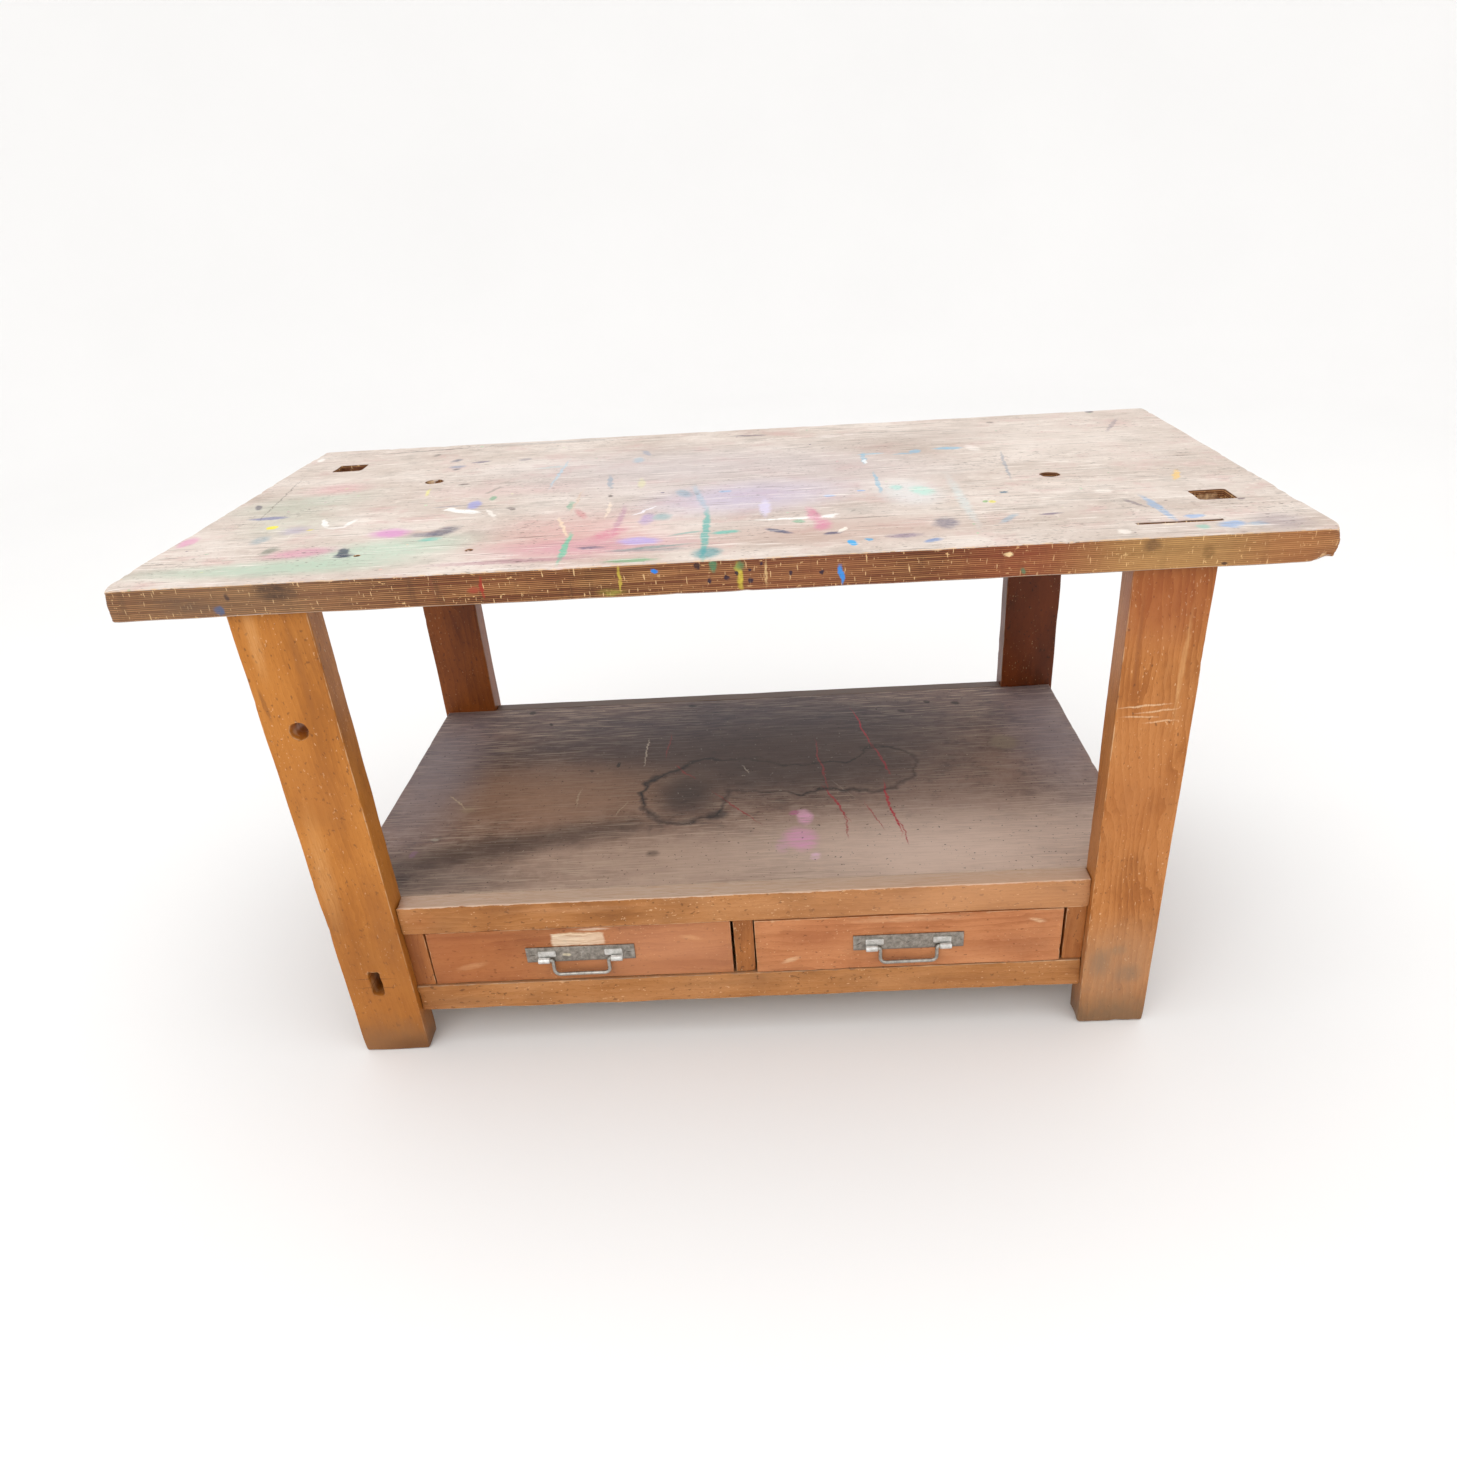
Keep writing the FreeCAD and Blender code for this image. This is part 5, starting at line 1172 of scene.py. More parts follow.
@dataclass
class Worktop:
    """The plywood slab with its stop holes, holdfast holes, a gouge and a broken corner."""

    arris: float = 2.4 * MM
    corner: float = 10 * MM
    pitch: float = 7 * MM
    knocks: int = 70
    finish: StainedSlab = field(default_factory=StainedSlab)

    def surface(self) -> tuple[Array, Array, Array, Array]:
        """Works out the slab's surface.

        In plan the block's corners are drawn onto quarter circles: beyond a corner's centre, the pair of
        distances (a, b) is scaled by its larger one over its length. Then each point near the top or bottom
        rim moves onto a quarter round by the same rule as a plank's, and each ply's edge stands back by an
        amount of its own.

        Returns:
            Points, faces, how rubbed each point is, and how much it belongs to a side.
        """
        low, high = (np.array(corner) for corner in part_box("worktop"))
        half, middle = (high - low) / 2, (high + low) / 2
        rim = self.arris * 1.9
        ply = 2 * half[2] / self.finish.plies
        levels = np.concatenate([np.arange(self.finish.plies) * ply + share * ply for share in (0.08, 0.5,
                                                                                                0.92)])
        levels = np.sort(levels) - half[2]
        levels = levels[np.abs(levels) < half[2] - rim]
        ends = half[2] - rim * RIM_SHARES
        heights = np.concatenate([-ends, levels, ends[::-1]])
        marks = [stations(half[0], self.pitch, rim), stations(half[1], self.pitch, rim), heights]
        start, faces = block_surface(marks)
        plan, across = start[:, :2], np.abs(start[:, :2])
        beyond = np.clip(across - (half[:2] - self.corner), 0, None)
        reach = np.linalg.norm(beyond, axis=1)
        bend = np.where((beyond > 0).all(1), beyond.max(1) / np.maximum(reach, 1e-12), 1.0)
        flat = np.sign(plan) * (np.minimum(across, half[:2] - self.corner) + beyond * bend[:, None])
        outward = np.sign(plan) * beyond / np.maximum(reach, 1e-12)[:, None]
        inset = (half[:2] - across).min(1)
        under = half[2] - np.abs(start[:, 2])
        world = start + middle
        radius = self.arris * np.clip(1 + 0.3 * Ripple(0.12, 3).at(world), 0.4, 1.5)
        a, b = np.clip(radius - inset, 0, None), np.clip(radius - under, 0, None)
        length = np.maximum(np.hypot(a, b), 1e-12)
        turned = (a > 0) & (b > 0)
        new_inset = np.where(turned, radius - radius * a / length, inset)
        new_under = np.where(turned, radius - radius * b / length, under)
        side = (inset < 1e-9) * smoothstep((under - 0.2 * MM) / (0.8 * self.arris))
        number = np.floor((start[:, 2] + half[2]) / ply)
        own = np.stack([world[:, 0], world[:, 1], number * 0.71], 1)
        relief = 0.32 * MM * np.clip(0.7 + 0.6 * Ripple(0.16, 11).at(own), 0, 2) * side
        new_inset = new_inset + relief
        flat = flat - outward * (new_inset - inset)[:, None]
        wave = 0.35 * MM * (0.5 + 0.5 * np.clip(Ripple(0.3, 21).at(world), -1, 1)) * (under < 1e-9)
        shape = np.column_stack([flat, np.sign(start[:, 2]) * (half[2] - new_under - wave)])
        rubbed = 1 - np.clip(np.hypot(inset, under) / rim, 0, 1)
        outward3 = np.column_stack([outward * (inset < rim)[:, None], np.sign(start[:, 2]) * (under < rim)])
        rng = np.random.default_rng(5)
        bites = [(rng.uniform(5, 9) * MM, rng.uniform(0.2, 1.0) * MM, None) for _ in range(self.knocks)]
        bites += [(11 * MM, 7 * MM, half * (0.99, -0.995, -0.9)),
                  (9 * MM, 4 * MM, half * (0.975, -1, -0.75)),
                  (12 * MM, 3 * MM, half * (0.998, -0.99, 1)), (14 * MM, 2.5 * MM,
                                                                half * (-0.998, -0.99, 1))]
        for spread, depth, given in bites:
            spot = rng.uniform(-1, 1, 3) * half
            end = rng.integers(0, 2)
            spot[end] = np.sign(spot[end]) * half[end]
            spot[2] = half[2] * (1 if rng.uniform() < 0.85 else -1)
            spot = spot if given is None else given
            bell = np.exp(-(((start - spot) ** 2).sum(1)) / spread**2)
            shape = shape - outward3 * (depth * bell)[:, None]
            rubbed = np.maximum(rubbed, bell * 0.9)
        return shape + middle, faces, rubbed, side

    def holes(self, material: bpy.types.Material) -> list[bpy.types.Object]:
        """Makes the cutters for every hole in the top.

        Args:
            material: The finish of their walls.

        Returns:
            The cutters.
        """
        low, high = (np.array(corner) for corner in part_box("worktop"))
        thick = high[2] - low[2]
        through = [3 * MM, 0.1 * MM, -1.2 * MM, -4 * MM, -thick + 3 * MM, -thick - 3 * MM]
        flare = [2.2 * MM, 1.3 * MM, 0.4 * MM, 0.0, 0.0, 1.0 * MM]
        cutters = []
        for number, mount in enumerate(frame["record"]["mounts"]):
            x, y = mount["pos_m"][:2]
            if mount["name"].endswith("stop_socket"):
                cutters.append(hole_cutter("stop_hole_cut", (x, y, high[2]), (24 * MM, 24 * MM), 14,
                                           through,
                                           flare, "Z", material, seed=30 + number,
                                           ragged=0.5 * MM, count=88))
            elif mount["name"].endswith("holdfast_bore"):
                across = mount["dims"]["r_mm"] * MM
                cutters.append(hole_cutter("holdfast_cut", (x, y, high[2]), (across, across), 2, through,
                                           flare, "Z", material, seed=40 + number,
                                           ragged=0.35 * MM, count=56))
        # A gouge near the front right corner, 108 mm long, 9 mm wide and 4 mm deep, then two knot holes.
        cutters.append(hole_cutter("gouge_cut", (0.575, -0.323, high[2]), (54 * MM, 4.6 * MM), 9,
                                   [3 * MM, 0.0, -2 * MM, -4 * MM], [0.8 * MM, 0.5 * MM, 0.0, -1 * MM], "Z",
                                   material, seed=61, ragged=0.5 * MM, count=88))
        for x, y, across in ((-0.318, -0.287, 6 * MM), (-0.464, -0.286, 5 * MM)):
            cutters.append(hole_cutter("knot_cut", (x, y, high[2]), (across, across), 2,
                                       [2 * MM, 0.0, -1 * MM, -3 * MM], [1 * MM, 0.5 * MM, -0.5 * MM,
                                                                         -3 * MM],
                                       "Z", material, seed=70, ragged=0.4 * MM, count=28))
        return cutters

    def build(self) -> None:
        """Makes the slab."""
        points, faces, rubbed, side = self.surface()
        thing = new_object("worktop_slab", points, faces, 40)
        set_attributes(thing, edge_wear=rubbed, side_wall=side, cut_wall=0.0)
        material = self.finish.material()
        thing.data.materials.append(material)
        cut_away(thing, self.holes(material), 40)
        settle(thing, "frame", ("worktop",))


# ---------------------------------------------------------------- the bench's boards

LEG_MARKS = tuple(front_mark(*row) for row in (
    (-567, 146, 29, 0.9, 0, "4a2c18", 0.85, 0.8, 0.2), (-567, 129, 27, 0.9, 0, "4a2c18", 0.8, 0.8, 0.2),
    (-567, 118, 13, 7, 0, "5a3a22", 0.4, 1.2, 0.5), (-567, 157, 10, 3, 0, "e0b98e", 0.6, 0.9, 0.5),
    (-589, 700, 8, 46, 2, "d29a5e", 0.5, 1.2, 0.5), (-540, 660, 5, 60, -1, "7a4620", 0.4, 1.3, 0.5),
    (-567, 470, 40, 60, 0, "a0622c", 0.35, 1.6, 0.3), (-595, 330, 12, 90, 3, "d49e62", 0.4, 1.5, 0.5),
    (-530, 240, 16, 80, -2, "8a5226", 0.45, 1.5, 0.4), (-601, 610, 3, 22, -6, "6a3d1e", 0.5, 0.8, 0.5),
    (-567, 20, 60, 26, 0, "7a6247", 0.4, 1.5, 0.4), (-530, 4, 40, 20, 0, "33261b", 0.7, 1.5, 0.3),
    (-567, 90, 0, 160, 0, "94571f", 0.45, 1.6, 0.2),
))
RIGHT_LEG_MARKS = tuple(front_mark(*row) for row in (
    (556, 700, 70, 60, 0, "8a3f22", 0.5, 1.5, 0.2), (560, 110, 70, 70, 0, "a28468", 0.5, 1.5, 0.2),
    (548, 549, 30, 1.3, -3, "e2bf98", 0.75, 0.8, 0.6), (566, 541, 26, 1.2, -5, "e2bf98", 0.7, 0.8, 0.6),
    (545, 533, 22, 1.2, 2, "e2bf98", 0.65, 0.8, 0.6), (572, 525, 20, 1.2, -3, "e2bf98", 0.6, 0.8, 0.6),
    (590, 600, 3, 70, 1, "d6a26a", 0.5, 1.1, 0.5), (530, 640, 3, 60, -1, "7d4523", 0.5, 1.1, 0.5),
    (560, 402, 42, 60, 0, "a5622f", 0.35, 1.6, 0.3), (536, 120, 14, 24, 0, "7f6a55", 0.6, 1.2, 0.4),
    (580, 96, 18, 16, 0, "7f6a55", 0.55, 1.2, 0.4), (560, 142, 12, 8, 0, "8e7357", 0.5, 1.2, 0.4),
    (556, 20, 60, 26, 0, "7a6247", 0.4, 1.5, 0.4),
))
LEFT_FRONT_MARKS = (
    Mark((-250.5, -352, 193.5), (40, 12, 11), (0, 0, 0), "ead9bd", 0.85, 0.12, 0.55, Edge.SQUARE),
    *(front_mark(*row) for row in (
    (-226, 211, 24, 2.6, 0, "ecdcc4", 0.8, 0.8, 0.5), (-250, 204, 36, 3, 0, "e3cba6", 0.6, 0.9, 0.7),
    (-400, 206, 60, 6, 0, "7c4426", 0.5, 1.2, 0.4), (-110, 165, 130, 60, 0, "cf906a", 0.55, 1.7, 0.1),
    (-430, 165, 90, 60, 0, "a05524", 0.5, 1.7, 0.1), (-110, 140, 70, 12, 0, "8a4c2b", 0.4, 1.5, 0.4),
    (-249, 132, 60, 10, 0, "7a4a30", 0.35, 1.5, 0.4), (-420, 150, 22, 5, -12, "dca877", 0.5, 1.2, 0.6),
    (-80, 188, 16, 4, 10, "dca877", 0.5, 1.2, 0.6),
    )),
)
RIGHT_FRONT_MARKS = tuple(front_mark(*row) for row in (
    (110, 180, 50, 20, 0, "8f4c2c", 0.4, 1.5, 0.4), (400, 150, 60, 18, 0, "8a4a2a", 0.4, 1.5, 0.4),
    (247, 208, 80, 5, 0, "dcb086", 0.45, 1.3, 0.6), (440, 196, 12, 3, 15, "e6c39a", 0.6, 1.0, 0.6),
    (70, 140, 14, 4, -20, "e6c39a", 0.6, 1.0, 0.6), (247, 132, 60, 10, 0, "7a4a30", 0.35, 1.5, 0.4),
))
RAIL_MARKS = (
    Mark((0, 0, 267), (0, 0, 1.8), (0, 0, 0), "cfb5a0", 0.95, 0.5, 0.35),
    Mark((0, 0, 117.5), (0, 0, 1.2), (0, 0, 0), "8d6f56", 0.7, 0.8, 0.5),
    *(front_mark(*row) for row in (
    (-480, 240, 24, 16, 0, "9a5526", 0.35, 1.4, 0.4), (-250, 252, 90, 5, 0, "c99568", 0.4, 1.4, 0.5),
    (90, 232, 120, 6, 0, "8d5428", 0.35, 1.4, 0.4), (380, 245, 260, 40, 0, "d29c74", 0.4, 1.7, 0.1),
    (330, 90, 80, 8, 0, "8f5c36", 0.4, 1.4, 0.4), (-60, 100, 60, 6, 0, "7a4c2a", 0.35, 1.4, 0.4),
    (-440, 84, 50, 10, 0, "7c5434", 0.4, 1.4, 0.4),
    )),
)
REAR_RAIL_MARKS = (Mark((0, 0, 267), (0, 0, 1.8), (0, 0, 0), "5d4f49", 0.95, 0.5, 0.2),)

# Legs: honey to dark brown planks with broad rings, which tell a softwood; the rear legs are darker partly as
# painted shade under the slab. Rails and drawer fronts: orange and redder, with little ring and much wear, which
# tell varnished pine that hands have rubbed. Plain
# softwood and birch: pale, dry and unvarnished, which tell the parts inside.
WOODS = (
    Wood("honey_pine_left_leg", "c07c34", "ab6823", "824b17", Grain.ALONG_Z, ring_mm=9.0,
         ring_share=0.10, fleck=0.4, grime=0.25, seed=0.4, foot=True, marks=LEG_MARKS),
    Wood("honey_pine_right_leg", "c28148", "a9662c", "7a421a", Grain.ALONG_Z, ring_mm=6.0,
         ring_share=0.2, fleck=0.5, grime=0.3, seed=1.7, foot=True, marks=RIGHT_LEG_MARKS),
    # The two rear legs' dark colours are partly painted shade under the slab.
    Wood("brown_pine_rear_left_leg", "8c4a16", "73380d", "4a2208", Grain.ALONG_Z, ring_mm=8.0,
         ring_share=0.15, fleck=0.3, grime=0.4, grime_colour="2c170c", bare=0.45, bare_colour="a5764a",
         seed=2.4, foot=True),
    Wood("dark_pine_rear_right_leg", "6c300c", "552407", "371604", Grain.ALONG_Z, ring_mm=8.0,
         ring_share=0.15, fleck=0.3, grime=0.4, grime_colour="2c170c", bare=0.45, bare_colour="a5764a",
         seed=2.9, foot=True),
    Wood("orange_pine_rails", "b98150", "a66c38", "7c4a22", Grain.ALONG_X, ring_mm=7.0, ring_share=0.12,
         fleck=0.55, grime=0.35, seed=3.3, marks=RAIL_MARKS),
    Wood("orange_pine_rear_rails", "9a673c", "83522a", "5c3517", Grain.ALONG_X, ring_mm=7.0,
         ring_share=0.12, fleck=0.4, grime=0.45, bare=0.2, seed=3.8, marks=REAR_RAIL_MARKS),
    # The left stile's one mark is a painted shadow of the front left leg: a dark band down its face.
    Wood("orange_pine_stiles", "ae6f3a", "98592a", "6d3b18", Grain.ALONG_Z, ring_mm=6.0, ring_share=0.15,
         fleck=0.45, grime=0.4, seed=4.1, marks=(front_mark(-505, 168, 18, 90, 0, "6d3614", 0.6, 1.0,
         0.2),)),
    Wood("red_pine_left_front", "b27546", "9f6038", "743c1f", Grain.ALONG_X, ring_mm=9.0,
         ring_share=0.14, fleck=0.45, grime=0.35, seed=5.2, marks=LEFT_FRONT_MARKS),
    Wood("red_pine_right_front", "c7875a", "b67347", "84492a", Grain.ALONG_X, ring_mm=8.0,
         ring_share=0.14, fleck=0.5, grime=0.35, seed=6.6, marks=RIGHT_FRONT_MARKS),
    Wood("brown_pine_side_boards", "9a683a", "7d4e24", "542e16", Grain.ALONG_Y, ring_mm=7.0,
         ring_share=0.2, fleck=0.4, seed=7.2),
    Wood("brown_pine_bearers", "8a5c34", "6c421e", "472712", Grain.ALONG_Y, ring_mm=6.0, ring_share=0.25,
         fleck=0.3, grime=0.6, seed=8.4),
    Wood("plain_softwood", "d6b07c", "bd9460", "8d663a", Grain.ALONG_Y, ring_mm=5.0, ring_share=0.35,
         fleck=0.25, grime=0.35, grime_colour="6a4c30", varnish=0.0, gloss=0.6, seed=9.1),
    Wood("plain_softwood_cleats", "cfa873", "b58b58", "855f36", Grain.ALONG_X, ring_mm=5.0,
         ring_share=0.35, fleck=0.25, grime=0.4, grime_colour="5c4028", varnish=0.0, gloss=0.6,
         seed=10.5),
    Wood("birch_drawer_sides", "d9bd90", "c5a473", "9a7a50", Grain.ALONG_Y, ring_mm=12.0, ring_share=0.3,
         fleck=0.25, grime=0.35, grime_colour="6a5038", varnish=0.04, gloss=0.5, seed=11.3),
    Wood("birch_drawer_bottoms", "d3b78a", "bd9c6c", "8f7048", Grain.ALONG_X, ring_mm=14.0,
         ring_share=0.3, fleck=0.3, grime=0.5, grime_colour="5e4a3a", varnish=0.0, gloss=0.55,
         seed=12.7),
)
PLATE_MARKS = (
    Mark((-270, 0, 168), (6.5, 0, 2.8), (0, 6, 0), "ddd2b4", 0.85, 0.5, 0.5),
    Mark((-249, 0, 155.2), (0, 0, 2.2), (0, 0, 0), "5f4d3f", 0.6, 1.2, 0.6),
)


def board_box(node: str, **limits: tuple[float, float]) -> tuple[Array, Array]:
    """A node's box with some of its axes cut short, to leave out the tenons.

    Args:
        node: The node's name.
        **limits: x, y or z with its lowest and highest value in metres.

    Returns:
        The low and the high corner.
    """
    low, high = (np.array(corner, float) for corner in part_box(node))
    for axis, (least, most) in limits.items():
        number = "xyz".index(axis)
        low[number], high[number] = max(low[number], least), min(high[number], most)
    return low, high


@dataclass
class Legs:
    """The four legs: planks that stand with their broad faces forwards."""

    finishes: dict[str, bpy.types.Material]

    def cutters(self) -> list[bpy.types.Object]:
        """Makes the cutters for the vice's two holes through the front left leg.

        Returns:
            The round hole's and the mortise's cutter.
        """
        low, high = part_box("front_left_leg")
        finish = self.finishes["honey_pine_left_leg"]
        thick = high[1] - low[1]
        depths = [-2 * MM, 0.2 * MM, 1.2 * MM, 3.5 * MM, thick - 2 * MM, thick + 2 * MM]
        flare = [1.4 * MM, 0.8 * MM, 0.3 * MM, 0.0, 0.0, 0.8 * MM]
        mounts = {mount["name"]: mount for mount in frame["record"]["mounts"]}
        screw = mounts["vice_screw_bore"]
        guide = mounts["vice_guide_socket"]
        across = screw["dims"]["r_mm"] * MM
        return [
            hole_cutter("screw_bore_cut", (screw["pos_m"][0], low[1], screw["pos_m"][2]), (across, across),
                        2,
                        depths, flare, "Y", finish, seed=81, ragged=0.3 * MM, count=56),
            hole_cutter("guide_mortise_cut", (guide["pos_m"][0], low[1], guide["pos_m"][2]),
                        (8.5 * MM, 22.5 * MM), 9, depths, flare, "Y", finish, seed=82, ragged=0.4 * MM,
                        count=72),
        ]

    def build(self) -> None:
        """Makes the legs, up to the slab's underside."""
        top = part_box("worktop")[0][2]
        for seed, (node, finish) in enumerate((("front_left_leg", "honey_pine_left_leg"),
                                               ("front_right_leg", "honey_pine_right_leg"),
                                               ("rear_left_leg", "brown_pine_rear_left_leg"),
                                               ("rear_right_leg", "dark_pine_rear_right_leg"))):
            low, high = board_box(node, z=(0.0, top))
            plank = Plank(node + "_plank", low, high, self.finishes[finish], "frame", "leg_pine", (node,),
                          wear=2.0 * MM, pitch=10 * MM, knocks=26, hollow=0.35 * MM, foot_wear=1.6 * MM,
                          seed=100 + seed)
            plank.build(self.cutters() if node == "front_left_leg" else None)


@dataclass
class Case:
    """The rails, stiles, shelf and sides that hold the drawers, with the bearers under the slab."""

    finishes: dict[str, bpy.types.Material]

    def boards(self) -> list[Plank]:
        """Lists the boards without their tenons.

        Returns:
            The planks, not yet built.
        """
        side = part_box("front_left_leg")[1][0]
        front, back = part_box("front_left_leg")[1][1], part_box("rear_left_leg")[0][1]
        sill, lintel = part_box("front_bottom_rail")[1][2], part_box("front_top_rail")[0][2]
        rail, stile = self.finishes["orange_pine_rails"], self.finishes["orange_pine_stiles"]
        rear = self.finishes["orange_pine_rear_rails"]
        brown, bearer = self.finishes["brown_pine_side_boards"], self.finishes["brown_pine_bearers"]
        across, along = {"x": (side, -side)}, {"y": (front, back)}
        upright = {"z": (sill, lintel)}
        rows = (
            ("front_top_rail", across, rail, "rail_pine", 1.8, 7, 30),
            ("front_bottom_rail", across, rail, "rail_pine", 1.8, 7, 24),
            ("rear_top_rail", across, rear, "rail_pine", 1.0, 14, 10),
            ("rear_bottom_rail", across, rear, "rail_pine", 1.6, 14, 10),
            ("left_stile", upright, stile, "rail_pine", 1.2, 5, 5),
            ("centre_stile", upright, stile, "rail_pine", 1.2, 5, 5),
            ("right_stile", upright, stile, "rail_pine", 1.2, 5, 5),
            ("left_side_board", along, brown, "side_board_pine", 1.6, 12, 12),
            ("right_side_board", along, brown, "side_board_pine", 1.6, 12, 12),
            ("rear_panel", {"z": (sill, lintel), "x": (side, -side)}, brown, "side_board_pine", 1.0, 20, 4),
            ("left_bearer", along, bearer, "bearer_pine", 1.6, 16, 8),
            ("right_bearer", along, bearer, "bearer_pine", 1.6, 16, 8),
        )
        return [
            Plank(node + "_plank", *board_box(node, **limits), finish, "frame", slot, (node,),
                  wear=wear * MM,
                  pitch=pitch * MM, knocks=knocks, seed=200 + number)
            for number, (node, limits, finish, slot, wear, pitch, knocks) in enumerate(rows)
        ]

    def build(self) -> None:
        """Makes the boards and the shelf."""
        for board in self.boards():
            board.build()
        shelf = Plank("shelf_board", *board_box("shelf_panel"), DampBoard().material(), "frame",
                      "shelf_board",
                      ("shelf_panel",), wear=1.3 * MM, pitch=9 * MM, knocks=26, hollow=0.5 * MM, seed=240)
        shelf.build()


@dataclass
class Runners:
    """What the drawers slide on and between, out of sight behind the rails."""

    finishes: dict[str, bpy.types.Material]

    def build(self) -> None:
        """Makes the runners, kickers, guides, cleats, divider and stops."""
        plain = self.finishes["plain_softwood"]
        cross = self.finishes["plain_softwood_cleats"]
        nodes = [f"{side}_{place}_{part}" for side in ("left", "right") for place in ("outer", "inner")
                 for part in ("runner", "kicker")]
        nodes += ["left_drawer_guide", "right_drawer_guide", "drawer_divider"]
        cleats = ("rear_shelf_cleat", "front_shelf_cleat")
        for group, finish, first_seed in ((nodes, plain, 300), (cleats, cross, 330)):
            for number, node in enumerate(group):
                Plank(node + "_strip", *board_box(node), finish, "frame", "inner_softwood", (node,),
                      wear=0.8 * MM, pitch=40 * MM, knocks=3, hollow=0.15 * MM,
                      seed=first_seed + number).build()
        dress("drawer_stops", plain)


def dress(node: str, material: bpy.types.Material) -> None:
    """Gives a CAD node a finish in place of its plain colour.

    Args:
        node: The node's name.
        material: The finish.
    """
    for slot in frame["nodes"][node].material_slots:
        slot.material = material
    log.info("%s: finish %s", node, material.name)


# ---------------------------------------------------------------- drawers


@dataclass
class Drawer:
    """One drawer: a plank front with sockets for the dovetails of its two sides."""

    side: str
    finishes: dict[str, bpy.types.Material]

    def socket_cutters(self) -> list[bpy.types.Object]:
        """Copies the drawer's two sides, with shared corner points joined, to cut their dovetails' sockets.

        Returns:
            The two copies.
        """
        copies = []
        for hand in ("left", "right"):
            source = frame["nodes"][f"{self.side}_drawer_{hand}_side"].data
            places = np.empty(len(source.vertices) * 3)
            source.vertices.foreach_get("co", places)
            places = places.reshape(-1, 3)
            _, first, back = np.unique(np.round(places, 6), axis=0, return_index=True, return_inverse=True)
            corners = np.empty(len(source.loops), int)
            source.loops.foreach_get("vertex_index", corners)
            faces = back.reshape(-1)[corners].reshape(-1, 3)
            copies.append(new_object(f"{hand}_socket_cut", places[first], faces))
        return copies

    def build(self) -> None:
        """Makes the front and dresses the box behind it."""
        name = f"{self.side}_drawer"
        finish = self.finishes[f"red_pine_{self.side}_front"]
        front = Plank(f"{name}_front_plank", *board_box(f"{name}_front"), finish, name, "drawer_front_pine",
                      (f"{name}_front",), wear=1.5 * MM, pitch=6 * MM, knocks=16, hollow=0.3 * MM,
                      seed=400 + len(self.side))
        front.build(self.socket_cutters())
        for part in ("left_side", "right_side", "back"):
            dress(f"{name}_{part}", self.finishes["birch_drawer_sides"])
        dress(f"{name}_bottom", self.finishes["birch_drawer_bottoms"])
        DrawerPull(self.side).build()


def turned_profile(profile: Array, count: int, middle: Array) -> tuple[Array, list]:
    """A solid of revolution about a line along Y.

    Args:
        profile: Radius and distance along Y, from the front backwards.
        count: The points round it.
        middle: The point that the distances are counted from.

    Returns:
        Its points and faces.
    """
    turn = np.linspace(0, 2 * np.pi, count, endpoint=False)
    radius, along = profile.T[..., None]
    rings = np.stack([radius * np.cos(turn), along + 0 * turn, -radius * np.sin(turn)], -1)
    return swept(rings + middle)


